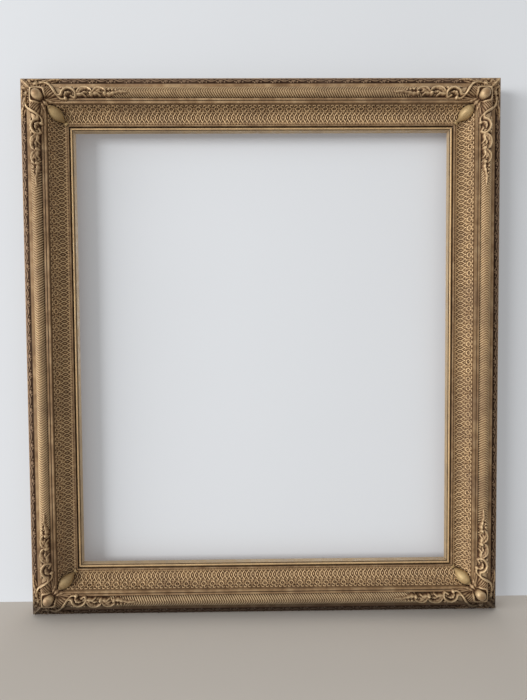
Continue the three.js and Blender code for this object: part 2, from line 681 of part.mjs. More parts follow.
function buildFrame() {
  const frame = new THREE.Group();
  for (const [name, side] of Object.entries(SIDES)) frame.add(buildSide(name, side));
  const bed = cornerSkin(SEAT_GAP);
  const ornament = cornerOrnament(bed);
  const bud = scoopBud(bed);
  for (const [name, { turn, place }] of Object.entries(CORNERS)) {
    const corner = new THREE.Group();
    addPiece(corner, `corner_ornament_${name}`, ornament, gilt());
    addPiece(corner, `scoop_bud_${name}`, bud, gilt());
    corner.rotation.y = turn;
    corner.position.set(...place);
    frame.add(corner);
  }
  // The origin is the middle of the box's underside
  const box = new THREE.Box3().setFromObject(frame, true);
  frame.position.y = -(box.min.y + box.max.y) / 2;
  return frame;
}

export default buildFrame();
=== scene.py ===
from math import asin, atan2, ceil, cos, hypot, pi, radians, sin, sqrt

import bmesh
import bpy
import numpy as np
from mathutils import Matrix, Vector


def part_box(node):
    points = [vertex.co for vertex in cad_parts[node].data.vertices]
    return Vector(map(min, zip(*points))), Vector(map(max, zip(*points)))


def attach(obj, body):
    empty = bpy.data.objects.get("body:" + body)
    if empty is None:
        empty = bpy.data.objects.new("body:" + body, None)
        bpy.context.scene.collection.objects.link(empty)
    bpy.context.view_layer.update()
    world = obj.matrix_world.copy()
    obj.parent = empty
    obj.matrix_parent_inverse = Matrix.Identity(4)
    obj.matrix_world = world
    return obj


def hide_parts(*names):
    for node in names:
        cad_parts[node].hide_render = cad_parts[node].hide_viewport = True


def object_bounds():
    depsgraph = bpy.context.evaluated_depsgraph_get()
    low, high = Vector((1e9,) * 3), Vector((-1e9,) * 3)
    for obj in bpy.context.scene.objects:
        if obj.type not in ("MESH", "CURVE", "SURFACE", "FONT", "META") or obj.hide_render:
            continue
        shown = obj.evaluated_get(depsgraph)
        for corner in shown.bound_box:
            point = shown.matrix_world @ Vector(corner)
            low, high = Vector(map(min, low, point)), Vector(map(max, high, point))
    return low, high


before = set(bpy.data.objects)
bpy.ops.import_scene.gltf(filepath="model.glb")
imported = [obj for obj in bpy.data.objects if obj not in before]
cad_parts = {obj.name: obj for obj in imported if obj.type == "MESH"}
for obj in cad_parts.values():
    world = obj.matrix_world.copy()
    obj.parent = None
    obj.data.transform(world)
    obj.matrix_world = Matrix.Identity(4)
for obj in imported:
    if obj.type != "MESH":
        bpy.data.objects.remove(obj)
cad_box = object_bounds()

# Rails: four lengths of softwood moulding, mitred, then glued and nailed at the corners. Their show faces
# are gessoed, gilded and toned with a brown glaze; the backs and the rebate are bare wood, dark with age.
MM = 0.001
WIDTH, HEIGHT = cad_box[1].x - cad_box[0].x, cad_box[1].z
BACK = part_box("rail_top")[1].y  # the plane that lies against the wall
SIDE_HEIGHT = 27 * MM
REBATE_WALL = 54 * MM  # inward from the outer edge
REBATE_DEPTH = 17.5 * MM  # as far forward as the wood is bare
CREASE_SHADE_LINES = ((13.0, 0.9), (18.5, 0.7), (32.9, 0.7), (36.05, 0.6), (62.6, 1.2))  # painted shade in the creases between members: place and half-width, mm
GRAIN = {"top": "X", "bottom": "X", "left": "Z", "right": "Z"}  # the axis that the fibres follow


def tint(red, green, blue):
    """A colour read off a paint card, in the light units that shaders use."""
    shares = [c / 255 for c in (red, green, blue)]
    return tuple(s / 12.92 if s < 0.04045 else ((s + 0.055) / 1.055) ** 2.4 for s in shares) + (1,)


def add_node(tree, kind, inputs=(), **settings):
    """One node with its settings; an input is linked where it is given a socket."""
    made = tree.nodes.new(kind)
    for name, value in settings.items():
        setattr(made, name, value)
    for name, value in dict(inputs).items():
        if isinstance(value, bpy.types.NodeSocket):
            tree.links.new(value, made.inputs[name])
        else:
            made.inputs[name].default_value = value
    return made


def ramped(tree, value, low, high, start=0.0, end=1.0):
    """The value's stretch from low to high, spread from start to end."""
    inputs = {"Value": value, "From Min": low, "From Max": high, "To Min": start, "To Max": end}
    return add_node(tree, "ShaderNodeMapRange", inputs, interpolation_type="SMOOTHSTEP").outputs["Result"]


def math_node(tree, operation, *values):
    made = add_node(tree, "ShaderNodeMath", enumerate(values), operation=operation)
    return made.outputs["Value"]


def mixed(tree, share, under, over):
    """Two colours laid over each other."""
    factor, first, second, result = 0, 6, 7, 2  # the places of the node's sockets for colours
    inputs = {factor: share, first: under, second: over}
    return add_node(tree, "ShaderNodeMix", inputs, data_type="RGBA").outputs[result]


def patches(tree, place, size):
    """Cloudy patches about that many metres across."""
    inputs = {"Vector": place, "Scale": 1 / size, "Detail": 3.0, "Roughness": 0.6}
    return add_node(tree, "ShaderNodeTexNoise", inputs).outputs["Fac"]


def new_finish(name):
    """A material, its tree, its surface shader, and the place on the piece that its patterns follow."""
    material = bpy.data.materials.new(name)
    material.use_nodes = True
    tree = material.node_tree
    place = add_node(tree, "ShaderNodeTexCoord").outputs["Object"]
    return material, tree, tree.nodes["Principled BSDF"], place


def rough_skin(tree, surface, height, strength, depth):
    inputs = {"Height": height, "Strength": strength, "Distance": depth}
    tree.links.new(add_node(tree, "ShaderNodeBump", inputs).outputs["Normal"], surface.inputs["Normal"])


CREST, GROUND, RECESS = tint(216, 188, 146), tint(158, 128, 94), tint(72, 48, 33)
BOLE = tint(118, 66, 44)  # the red clay under the leaf, where it is rubbed through
GRIME = tint(116, 93, 76)
PAINTED_FOOT_SHADE = tint(39, 28, 20)  # painted shade along the edge that the frame stands on
PAINTED_FOOT_SHADE_FROM, PAINTED_FOOT_SHADE_TO = 12 * MM, 38 * MM  # it thins out between these heights
DARK_WOOD, PALE_WOOD = tint(108, 78, 50), tint(148, 112, 73)
PALE_WASH, DARK_WASH = tint(120, 92, 56), tint(80, 59, 39)  # on the outer sides


def lay_gilding(tree, surface, place, depth, crest=CREST, ground=GROUND, recess=RECESS):
    """Dark glaze in the hollows, bright leaf on the crests, and painted shade towards the bottom edge.
    Gives the gilding's colour and its specks.
    """
    clouds, smears, specks = (patches(tree, place, size) for size in (0.05, 0.009, 0.0012))
    worn = math_node(tree, "ADD", depth, math_node(tree, "MULTIPLY_ADD", smears, 0.5, -0.25))
    ramp = add_node(tree, "ShaderNodeValToRGB", {"Fac": worn})
    stops = ramp.color_ramp.elements
    stops[0].position, stops[0].color = 0.02, recess
    stops[1].position, stops[1].color = 0.95, crest
    stops.new(0.48).color = ground
    dull = ramped(tree, clouds, 0.4, 0.8, 0.0, 0.4)
    bare = ramped(tree, specks, 0.56, 0.7)
    rubbed = math_node(tree, "MULTIPLY", bare, ramped(tree, worn, 0.5, 1.0, 0.1, 0.5))
    colour = mixed(tree, rubbed, mixed(tree, dull, ramp.outputs["Color"], GRIME), BOLE)
    low = add_node(tree, "ShaderNodeSeparateXYZ", {"Vector": place}).outputs["Z"]
    # painted shade: the gilding darkens towards the bottom edge that the frame stands on
    foot_shade = ramped(tree, low, PAINTED_FOOT_SHADE_FROM, PAINTED_FOOT_SHADE_TO, 0.86, 0.0)
    colour = mixed(tree, foot_shade, colour, PAINTED_FOOT_SHADE)
    tree.links.new(ramped(tree, worn, 0.05, 0.8, 0.05, 0.34), surface.inputs["Metallic"])
    tree.links.new(ramped(tree, worn, 0.1, 0.8, 0.03, 0.34), surface.inputs["Specular IOR Level"])
    tree.links.new(ramped(tree, smears, 0.3, 0.7, 0.42, 0.64), surface.inputs["Roughness"])
    return colour, specks


def softwood(tree, place, along):
    """Bare wood, dark with age, its grain along one axis. Gives its colour and its fibres."""
    stretch = (6, 120, 120) if along == "X" else (120, 120, 6)
    fibres = add_node(tree, "ShaderNodeMapping", {"Vector": place, "Scale": stretch}).outputs["Vector"]
    inputs = {"Vector": fibres, "Scale": 2.5, "Detail": 5.0}
    grain = add_node(tree, "ShaderNodeTexNoise", inputs).outputs["Fac"]
    return mixed(tree, ramped(tree, grain, 0.38, 0.66), DARK_WOOD, PALE_WOOD), grain


def turned_back(tree):
    """1 on faces that are turned to the wall."""
    normal = add_node(tree, "ShaderNodeNewGeometry").outputs["Normal"]
    facing = add_node(tree, "ShaderNodeSeparateXYZ", {"Vector": normal}).outputs
    return math_node(tree, "GREATER_THAN", facing["Y"], 0.5)


def leave_plain(tree, surface, share):
    """Takes the leaf's sheen off where the share is 1."""
    for socket, value in (("Metallic", 0.0), ("Roughness", 0.78)):
        gilded = surface.inputs[socket].links[0].from_socket
        blend = math_node(tree, "MULTIPLY_ADD", math_node(tree, "SUBTRACT", value, gilded), share, gilded)
        tree.links.new(blend, surface.inputs[socket])


def rail_finish(name, along):
    """Gilding with painted shade along the creases between its members, yellow wash on the outer sides, and
    bare wood behind.
    """
    material, tree, surface, place = new_finish(name)
    wear = ramped(tree, patches(tree, place, 0.02), 0.3, 0.7, 0.34, 0.62)
    gilt, specks = lay_gilding(tree, surface, place, wear)
    wood, grain = softwood(tree, place, along)
    wash = mixed(tree, ramped(tree, patches(tree, place, 0.03), 0.35, 0.7), PALE_WASH, DARK_WASH)
    axes = add_node(tree, "ShaderNodeSeparateXYZ", {"Vector": place}).outputs
    across = math_node(tree, "SUBTRACT", WIDTH / 2, math_node(tree, "ABSOLUTE", axes["X"]))
    upright = math_node(tree, "ABSOLUTE", math_node(tree, "SUBTRACT", axes["Z"], HEIGHT / 2))
    inward = math_node(tree, "MINIMUM", across, math_node(tree, "SUBTRACT", HEIGHT / 2, upright))
    # painted shade: dark lines along the creases between the moulding's members
    for at, half in CREASE_SHADE_LINES:
        off = math_node(tree, "ABSOLUTE", math_node(tree, "SUBTRACT", inward, at * MM))
        gilt = mixed(tree, ramped(tree, off, 0.25 * half * MM, half * MM, 0.8, 0.0), gilt, RECESS)
    low = math_node(tree, "GREATER_THAN", axes["Y"], BACK - SIDE_HEIGHT + 0.5 * MM)
    inside = math_node(tree, "GREATER_THAN", inward, REBATE_WALL - 1 * MM)
    deep = math_node(tree, "GREATER_THAN", axes["Y"], BACK - REBATE_DEPTH)
    rebate = math_node(tree, "MULTIPLY", inside, deep)
    bare = math_node(tree, "MAXIMUM", turned_back(tree), rebate)
    outside = math_node(tree, "MULTIPLY", low, math_node(tree, "LESS_THAN", inward, 1 * MM))
    tree.links.new(mixed(tree, bare, mixed(tree, outside, gilt, wash), wood), surface.inputs["Base Color"])
    leave_plain(tree, surface, math_node(tree, "MAXIMUM", bare, outside))
    rough_skin(tree, surface, math_node(tree, "ADD", grain, specks), 0.25, 0.0003)
    return material


def dress(name, finish):
    """Gives a solid of the frame its finish."""
    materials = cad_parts[name].data.materials
    materials.clear()
    materials.append(finish)


rail_finishes = {along: rail_finish(f"rail_{along}", along) for along in "XZ"}
for side, along in GRAIN.items():
    dress(f"rail_{side}", rail_finishes[along])

# Edge strips: running leaf-and-berry ornament in composition, pressed in boxwood moulds in short lengths.
# They are glued end to end along the chamfer of each rail, mitred, and gilded with the rest.
EDGE_PITCH = 24.0  # one repeat, in mm
EDGE_RELIEF = 1.1
EDGE_STEPS = (20, 44)  # of its mesh, over the face and along one repeat
EDGE_TONES = {"crest": tint(168, 140, 108), "ground": tint(118, 93, 72), "recess": tint(52, 37, 27)}
CHAMFER = (13.0, 8.6)  # width and rise of the bevel that it lies on
EDGE_CROWN = 2.8
EDGE_MARGIN = 0.7
SEAT = 0.3  # glue line
MITRE_GAP = 0.3
SIDES = {
    "top": (0, WIDTH, (0, HEIGHT)),
    "bottom": (pi, WIDTH, (0, 0)),
    "left": (-pi / 2, HEIGHT, (-WIDTH / 2, HEIGHT / 2)),
    "right": (pi / 2, HEIGHT, (WIDTH / 2, HEIGHT / 2)),
}


def arc(mid, radius, start, end, steps):
    angle = np.linspace(start, end, steps + 1)
    return np.stack([mid[0] + radius * np.cos(angle), mid[1] + radius * np.sin(angle)], axis=1)


def dome(distance, radius):
    """A round swelling: 1 in the middle, 0 at the radius."""
    return np.sqrt(np.clip(1 - (distance / radius) ** 2, 0, 1))


def blade(x, y, at, turn, length, width):
    """A leaf that swells from its stalk at a point and ends in a point, with a sunk midrib."""
    along = (x - at[0]) * cos(turn) + (y - at[1]) * sin(turn)
    aside = (y - at[1]) * cos(turn) - (x - at[0]) * sin(turn)
    t = np.clip(along / length, 0, 1)
    half = width / 2 * np.sin(pi * t**0.7) + 1e-6
    body = np.where((along > 0) & (along < length), dome(aside, half), 0)
    return body * (1 - 0.45 * np.exp(-((aside / (0.16 * width)) ** 2)))


def plain_mesh(name, places, faces, relief=None):
    mesh = bpy.data.meshes.new(name)
    mesh.from_pydata([tuple(p) for p in places], [], [tuple(f) for f in faces])
    if relief is not None:
        levels = np.asarray(relief, np.float32)
        mesh.attributes.new("relief", "FLOAT", "POINT").data.foreach_set("value", levels)
    return mesh


def skin(rings, sides, first=0):
    """Faces from each ring of places to the next; the first ring's places are numbered from first."""
    faces = []
    for i in range(rings - 1):
        for j in range(sides):
            a, b = first + i * sides + j, first + i * sides + (j + 1) % sides
            faces.append((a, b, b + sides, a + sides))
    return faces


def moulded_unit(name, outline, under, length, steps, carve, relief):
    """One repeat of a pressed strip along X: its carved face, and the plain underside that closes it."""
    face = np.asarray(outline)
    slope = np.gradient(face, axis=0)
    out = np.stack([-slope[:, 1], slope[:, 0]], axis=1) / np.hypot(*slope.T)[:, None]
    across = np.concatenate([[0], np.cumsum(np.hypot(*np.diff(face, axis=0).T))])
    along = np.linspace(0, length, steps + 1)
    height = carve(along[:, None], across[None, :])
    worked = face + ((height - 1) * relief)[..., None] * out
    rings = np.concatenate([worked, np.broadcast_to(under, (steps + 1, *np.shape(under)))], axis=1)
    count = rings.shape[1]
    x = np.broadcast_to(along[:, None], rings.shape[:2])
    places = np.stack([x, -rings[..., 1], -rings[..., 0]], axis=-1).reshape(-1, 3) * MM
    toned = np.concatenate([height, np.zeros((steps + 1, len(under)))], axis=1).ravel()
    return plain_mesh(name, places, skin(steps + 1, count), toned)


def ornament_run():
    """A tree that sets copies of one unit in a row, welds them and joins them to the strip below."""
    tree = bpy.data.node_groups.new("ornament_run", "GeometryNodeTree")
    sockets = {"Strip": "Geometry", "Unit": "Object", "Count": "Int", "Start": "Float", "Pitch": "Float",
               "Finish": "Material"}
    for name, kind in sockets.items():
        tree.interface.new_socket(name, in_out="INPUT", socket_type=f"NodeSocket{kind}")
    tree.interface.new_socket("Ornament", in_out="OUTPUT", socket_type="NodeSocketGeometry")
    given = tree.nodes.new("NodeGroupInput").outputs
    start = add_node(tree, "ShaderNodeCombineXYZ", {"X": given["Start"]}).outputs["Vector"]
    step = add_node(tree, "ShaderNodeCombineXYZ", {"X": given["Pitch"]}).outputs["Vector"]
    row = {"Count": given["Count"], "Start Location": start, "Offset": step}
    line = add_node(tree, "GeometryNodeMeshLine", row, mode="OFFSET").outputs["Mesh"]
    unit = add_node(tree, "GeometryNodeObjectInfo", {"Object": given["Unit"]}).outputs["Geometry"]
    spread = {"Points": line, "Instance": unit}
    copies = add_node(tree, "GeometryNodeInstanceOnPoints", spread).outputs["Instances"]
    real = add_node(tree, "GeometryNodeRealizeInstances", {"Geometry": copies}).outputs["Geometry"]
    welded = add_node(tree, "GeometryNodeMergeByDistance", {"Geometry": real, "Distance": 0.01 * MM})
    both = add_node(tree, "GeometryNodeJoinGeometry")
    tree.links.new(given["Strip"], both.inputs["Geometry"])
    tree.links.new(welded.outputs["Geometry"], both.inputs["Geometry"])
    covered = {"Geometry": both.outputs["Geometry"], "Material": given["Finish"]}
    finished = add_node(tree, "GeometryNodeSetMaterial", covered).outputs["Geometry"]
    tree.links.new(finished, tree.nodes.new("NodeGroupOutput").inputs["Ornament"])
    return tree


RUN = ornament_run()


def put_in_scene(name, data):
    made = bpy.data.objects.new(name, data)
    bpy.context.scene.collection.objects.link(made)
    return made


def grown(tree, base, **values):
    """The plain mesh that a tree makes from a base mesh with these inputs."""
    holder = put_in_scene("in_the_making", base)
    modifier = holder.modifiers.new("tree", "NODES")
    modifier.node_group = tree
    for socket in tree.interface.items_tree:
        if socket.in_out == "INPUT" and socket.name in values:
            modifier[socket.identifier] = values[socket.name]
    made = bpy.data.meshes.new_from_object(holder.evaluated_get(bpy.context.evaluated_depsgraph_get()))
    bpy.data.objects.remove(holder)
    return made


def run_of(unit, count, pitch, finish, base=None):
    """That many copies of a unit, centred on the middle of a rail."""
    pattern = put_in_scene("unit", unit)
    start = -count * pitch / 2 * MM
    row = {"Unit": pattern, "Count": count, "Start": start, "Pitch": pitch * MM, "Finish": finish}
    made = grown(RUN, base or bpy.data.meshes.new("bare"), **row)
    bpy.data.objects.remove(pattern)
    return made


def mitre(mesh, length):
    """Cuts both ends of a strip along the mitres and closes them."""
    shape = bmesh.new()
    shape.from_mesh(mesh)
    half = length / 2 - MITRE_GAP * MM / sqrt(2)
    for end in (1, -1):
        everything = [*shape.verts, *shape.edges, *shape.faces]
        plane = {"plane_co": (end * half, 0, 0), "plane_no": (end, 0, -1)}
        cut = bmesh.ops.bisect_plane(shape, geom=everything, clear_outer=True, **plane)
        rim = [e for e in cut["geom_cut"] if isinstance(e, bmesh.types.BMEdge)]
        bmesh.ops.edgeloop_fill(shape, edges=rim)
    bmesh.ops.recalc_face_normals(shape, faces=shape.faces)
    shape.to_mesh(mesh)
    shape.free()
    return mesh


def add_piece(name, mesh, finish, body="frame", stands_for=(), crease=40):
    """A finished piece, its place in its mesh, riding on its body in place of its solids."""
    if not mesh.materials:
        mesh.materials.append(finish)
    mesh.polygons.foreach_set("use_smooth", [True] * len(mesh.polygons))
    mesh.set_sharp_from_angle(angle=radians(crease))
    piece = put_in_scene(name, mesh)
    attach(piece, body)
    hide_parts(*stands_for)


def on_side(mesh, side):
    turn, _, (x, z) = SIDES[side]
    mesh.transform(Matrix.Translation((x, BACK, z)) @ Matrix.Rotation(turn, 4, "Y"))
    return mesh


def lay_strip(kind, side, mesh, finish):
    """A finished strip of ornament on its rail, in place of the plain strip there."""
    add_piece(f"{kind}_{side}", on_side(mesh, side), finish,
              stands_for=[f"{kind}_strip_{side}"])


def gilding(name, wood_along=None, **tones):
    """Gilding toned by a piece's own relief, from hollow (0) to crest (1); a wooden one is bare behind."""
    material, tree, surface, place = new_finish(name)
    relief = add_node(tree, "ShaderNodeAttribute", attribute_name="relief").outputs["Fac"]
    colour, specks = lay_gilding(tree, surface, place, relief, **tones)
    if wood_along:
        behind = turned_back(tree)
        colour = mixed(tree, behind, colour, softwood(tree, place, wood_along)[0])
        leave_plain(tree, surface, behind)
    tree.links.new(colour, surface.inputs["Base Color"])
    rough_skin(tree, surface, specks, 0.3, 0.0002)
    return material


def edge_circle():
    """Middle, radius and end angles of the cushion that the strip's face lies on."""
    slant = hypot(*CHAMFER)
    out = (-CHAMFER[1] / slant, CHAMFER[0] / slant)
    half = slant / 2 - EDGE_MARGIN
    radius = (half**2 + EDGE_CROWN**2) / (2 * EDGE_CROWN)
    rise = SEAT + EDGE_CROWN - radius
    middle = (CHAMFER[0] / 2 + out[0] * rise, SIDE_HEIGHT / MM + CHAMFER[1] / 2 + out[1] * rise)
    facing, spread = atan2(out[1], out[0]), asin(half / radius)
    return middle, radius, facing + spread, facing - spread


def leaf_and_berry(s, w):
    """A wavy ribbon with a three-lobed leaf and three berries in each of its bends."""
    middle, wave = 7.9, 2 * pi / EDGE_PITCH
    ribbon = 0.75 * dome(w - middle - 2.4 * np.sin(wave * s), 1.25)
    high = [ribbon]
    for shift in (-EDGE_PITCH, 0, EDGE_PITCH):
        for start, way in ((6 + shift, -1), (18 + shift, 1)):
            for turn, length in ((0.0, 5.2), (0.85, 4.6), (-0.85, 4.6)):
                root = (start, middle + way * 0.6)
                high.append(0.95 * blade(s, w, root, way * pi / 2 + turn, length, 2.7))
            for place in ((-5.2, 3.4), (-3.2, 4.6), (5.2, 3.6)):
                berry = np.hypot(s - start - place[0], w - middle - way * place[1])
                high.append(dome(berry, 1.15))
    rim = 0.5 * dome(w - 0.7, 0.7)
    return np.maximum.reduce(np.broadcast_arrays(*high, rim))


edge_mid, edge_radius, edge_start, edge_end = edge_circle()
edge_face = arc(edge_mid, edge_radius, edge_start, edge_end, EDGE_STEPS[0])
edge_chord = [edge_face[-1] * (1 - t) + edge_face[0] * t for t in (0.25, 0.5, 0.75)]
composition = gilding("gilded_composition")
edge_gilding = gilding("gilded_edge", **EDGE_TONES)
edge_unit = moulded_unit(
    "edge_unit", edge_face, edge_chord, EDGE_PITCH, EDGE_STEPS[1], leaf_and_berry, EDGE_RELIEF)
for side, (_, length, _) in SIDES.items():
    count = ceil(length / MM / EDGE_PITCH) + 1
    strip = mitre(run_of(edge_unit, count, EDGE_PITCH, edge_gilding), length)
    lay_strip("edge", side, strip, edge_gilding)

# Torus strips: a half-round of composition over the rail's core. Its middle stretch is pressed with fine
# herringbone that meets on the crest, and it runs smooth into the corners, under the cast ornament.
TORUS_MID = (25.7, 41.5)
TORUS_RADIUS = 6.9
TORUS_BORE = 4.9
TORUS_FOOT = 40.3
RIB_PITCH = 3.2
RIB_HEIGHT = 1.0
ROUND_STEPS, BORE_STEPS = 28, 10
SMOOTH_END = 112.0  # plain length at each corner
TONE_FADE = 6.0  # from the plain ends' tone to the darker middle's


def faced_out(mesh):
    """The same mesh, its faces turned outwards."""
    shape = bmesh.new()
    shape.from_mesh(mesh)
    bmesh.ops.recalc_face_normals(shape, faces=shape.faces)
    shape.to_mesh(mesh)
    shape.free()
    return mesh


def mitred_bar(name, outline, length, relief, worked=0.0, shade=1.0):
    """A straight bar of one closed outline, its ends on the mitres; its worked middle can be darker."""
    half = length / MM / 2 - MITRE_GAP / sqrt(2)
    outline = np.asarray(outline)
    count = len(outline)
    stops = (-worked - TONE_FADE, -worked, worked, worked + TONE_FADE) if worked else ()
    rings = [[(-half + u, -v, -u) for u, v in outline]]
    rings += [[(x, -v, -u) for u, v in outline] for x in stops]
    rings += [[(half - u, -v, -u) for u, v in outline]]
    tones = [np.asarray(relief) * (shade if 1 < i < len(rings) - 2 else 1) for i in range(len(rings))]
    last = (len(rings) - 1) * count
    ends = [tuple(range(count))[::-1], tuple(range(last, last + count))]
    places = np.array(rings).reshape(-1, 3) * MM
    return faced_out(plain_mesh(name, places, skin(len(rings), count) + ends, np.concatenate(tones)))


def herringbone_rib():
    """One V-shaped rib over the half-round, its point on the crest."""
    angles = np.linspace(radians(172), radians(8), 15)
    base = TORUS_RADIUS - RIB_HEIGHT
    places, relief = [], []
    for angle in angles:
        lean = 0.62 * base * abs(angle - pi / 2)
        sweep = ((-1.1, base - 0.1, 0.2), (-0.4, base + RIB_HEIGHT, 1), (0.5, base + 0.8 * RIB_HEIGHT, 0.9),
                 (1.1, base - 0.1, 0.2), (0, base - 0.5, 0))
        for step, radius, level in sweep:
            u, v = TORUS_MID[0] + radius * cos(angle), TORUS_MID[1] + radius * sin(angle)
            places.append((lean + step, -v, -u))
            relief.append(level)
    ring = len(sweep)
    ends = [tuple(range(ring))[::-1], tuple(range(len(places) - ring, len(places)))]
    return faced_out(plain_mesh("rib", np.array(places) * MM, skin(len(angles), ring) + ends, relief))


torus_round = arc(TORUS_MID, TORUS_RADIUS - RIB_HEIGHT, pi, 0, ROUND_STEPS)
torus_bore = arc(TORUS_MID, TORUS_BORE, 0, pi, BORE_STEPS)
torus_outline = [
    (torus_round[0][0], TORUS_FOOT), *torus_round, (torus_round[-1][0], TORUS_FOOT),
    (torus_bore[0][0], TORUS_FOOT), *torus_bore, (torus_bore[-1][0], TORUS_FOOT),
]
torus_tone = [0.2, *(0.25 + 0.5 * np.sin(np.linspace(0, pi, ROUND_STEPS + 1))), 0.2]
torus_tone += [0] * (len(torus_outline) - len(torus_tone))
rib = herringbone_rib()
for side, (_, length, _) in SIDES.items():
    count = int((length / MM - 2 * SMOOTH_END) / RIB_PITCH)
    worked = count * RIB_PITCH / 2
    base = mitred_bar(f"torus_base_{side}", torus_outline, length, torus_tone, worked, 0.5)
    lay_strip("torus", side, run_of(rib, count, RIB_PITCH, composition, base), composition)

# Scoop strips: thin pressed sheets of composition that line the hollow between the double fillet and the
# sight edge, glued in and mitred. A row of open flowers between curled leaves, a net of ogees with a bud in
# each mesh, and small lobes.
SCOOP_PITCH = 12.0  # one repeat, in mm
SCOOP_RELIEF = 1.2
SCOOP_STEPS = (52, 24)  # of its mesh, over the face and along one repeat
SCOOP_TONES = {"crest": tint(230, 200, 154), "ground": tint(160, 129, 95), "recess": tint(60, 41, 28)}
SCOOP_MID = (53.75, 42.4)
SCOOP_AXES = (13.15, 19.3)  # half-axes of its finished face
SCOOP_THICKNESS = 1.4
SCOOP_TURN = (0.16, 2.03)  # angles of its two edges, from below the lower fillet to the lip
ROSETTE_LINE, NET_TOP, NET_END = 8.2, 12.9, 25.6  # down the face, in mm
MESH_LENGTH = 12.7
MESH_HALF = SCOOP_PITCH / 4


def scoop_arc(inset, start, end, steps):
    angle = np.linspace(start, end, steps + 1)
    across, down = SCOOP_AXES[0] + inset, SCOOP_AXES[1] + inset
    return np.stack([SCOOP_MID[0] - across * np.cos(angle), SCOOP_MID[1] - down * np.sin(angle)], axis=1)


def rosette(s, w, place, radius):
    """An open flower: a scalloped rim round a hollow, and a button in it."""
    reach, turn = np.hypot(s - place[0], w - place[1]), np.arctan2(w - place[1], s - place[0])
    rim = dome(reach - 0.74 * radius, 0.26 * radius) * (0.84 + 0.16 * np.cos(6 * turn))
    return np.maximum(rim, 0.75 * dome(reach, 0.24 * radius))


def ogee_net(s, w):
    """Waved lines that touch and part again, with a pointed bud in every mesh."""
    phase, sway = 2 * pi * (w - NET_TOP) / MESH_LENGTH, MESH_HALF / 2
    slant = np.hypot(1, sway * 2 * pi / MESH_LENGTH * np.sin(phase))
    high = [0 * s + 0 * w]
    for k in range(-1, 6):
        way = 1 if k % 2 else -1
        high.append(0.95 * dome((s - MESH_HALF * k - way * sway * np.cos(phase)) / slant, 0.72))
        for row in range(3):
            middle = NET_TOP + MESH_LENGTH * (row + (0.5 if k % 2 else 0))
            high.append(0.85 * dome(np.hypot((s - MESH_HALF * k - sway) / 0.8, (w - middle) / 2.0), 1.0))
    return np.maximum.reduce(np.broadcast_arrays(*high)) * ((w > NET_TOP) & (w < NET_END))


def rosettes_and_net(s, w):
    """The whole pattern across the hollow, from 0 in its pits to 1 on its crests."""
    ground = 0.08 + 0.06 * (w > NET_TOP) + 0 * s
    edge = 0.5 * dome(w, 0.9)
    borders = [0.8 * dome(w - at, 0.45) for at in (NET_TOP - 0.1, NET_END + 0.2)]
    row = [rosette(s, w, (SCOOP_PITCH / 2, ROSETTE_LINE), 4.3)]
    for at, way in ((0, 1), (SCOOP_PITCH, -1)):
        root = (at + way * 0.4, ROSETTE_LINE + 0.8)
        row += [0.9 * blade(s, w, root, lift, 4.6, 2.6) for lift in (-pi / 2, pi / 2)]
        reach = np.hypot(s - at - way * SCOOP_PITCH / 4, w - 3.4)
        row.append(dome(reach - 1.9, 0.7) * (w < 3.9) + 0.48 * dome(reach, 0.8))
    beside = np.abs(s % 4 - 2)
    lobes = 0.95 * dome(np.hypot(beside / 1.8, (w - 26.4) / 2.6), 1.0) * (w > 26.2)
    lobes = lobes * (1 - 0.7 * np.exp(-((beside / 0.4) ** 2)))
    return np.maximum.reduce(np.broadcast_arrays(ground, edge, *borders, *row, lobes, ogee_net(s, w)))


scoop_face = scoop_arc(0, *SCOOP_TURN, SCOOP_STEPS[0])
scoop_under = scoop_arc(SCOOP_THICKNESS, *SCOOP_TURN[::-1], 6)
scoop_unit = moulded_unit(
    "scoop_unit", scoop_face, scoop_under, SCOOP_PITCH, SCOOP_STEPS[1], rosettes_and_net, SCOOP_RELIEF)
scoop_gilding = gilding("gilded_scoop", **SCOOP_TONES)
for side, (_, length, _) in SIDES.items():
    count = ceil(length / MM / SCOOP_PITCH) + 1
    strip = mitre(run_of(scoop_unit, count, SCOOP_PITCH, scoop_gilding), length)
    lay_strip("scoop", side, strip, scoop_gilding)

# Slips: thin softwood mouldings pinned into the rebate from behind, gilded in front and bare at the back. A
# burnished bead, a sunk line and a narrow sight edge, where the leaf has worn to the pale ground.
SLIP_OUTER, SLIP_BEAD_START, EDGE_START, SLIP_SIGHT = 54.5, 63.5, 66.6, 67.4  # inward, in mm
SLIP_BACK, SLIP_STEP, SUNK_LINE, SIGHT_EDGE, SLIP_LEVEL = 13.5, 16.7, 21.7, 22.3, 22.7  # from the back
SLIP_BEAD, BEAD_STEPS = 1.3, 14
SLIP_ROUND = 0.1  # eased arrises of the sight edge
SLIP_TONES = {"crest": tint(218, 184, 136), "ground": tint(176, 154, 122)}
slip_bead = arc((SLIP_BEAD_START + SLIP_BEAD, SLIP_LEVEL), SLIP_BEAD, pi, 0, BEAD_STEPS)
slip_outline = [
    (SLIP_OUTER, SLIP_BACK), (SLIP_OUTER, SLIP_STEP), (SLIP_BEAD_START, SLIP_STEP), *slip_bead,
    (SLIP_BEAD_START + 2 * SLIP_BEAD, SUNK_LINE), (EDGE_START, SUNK_LINE),
    (EDGE_START, SIGHT_EDGE - SLIP_ROUND), (EDGE_START + SLIP_ROUND, SIGHT_EDGE),
    (SLIP_SIGHT - SLIP_ROUND, SIGHT_EDGE), (SLIP_SIGHT, SIGHT_EDGE - SLIP_ROUND), (SLIP_SIGHT, SLIP_BACK),
]
bead_tone = 0.3 + 0.7 * np.sin(np.linspace(0, pi, BEAD_STEPS + 1))
slip_tone = [0.2, 0.2, 0.0, *bead_tone, 0.0, 0.0, 0.0, 0.2, 0.5, 0.55, 0.55]
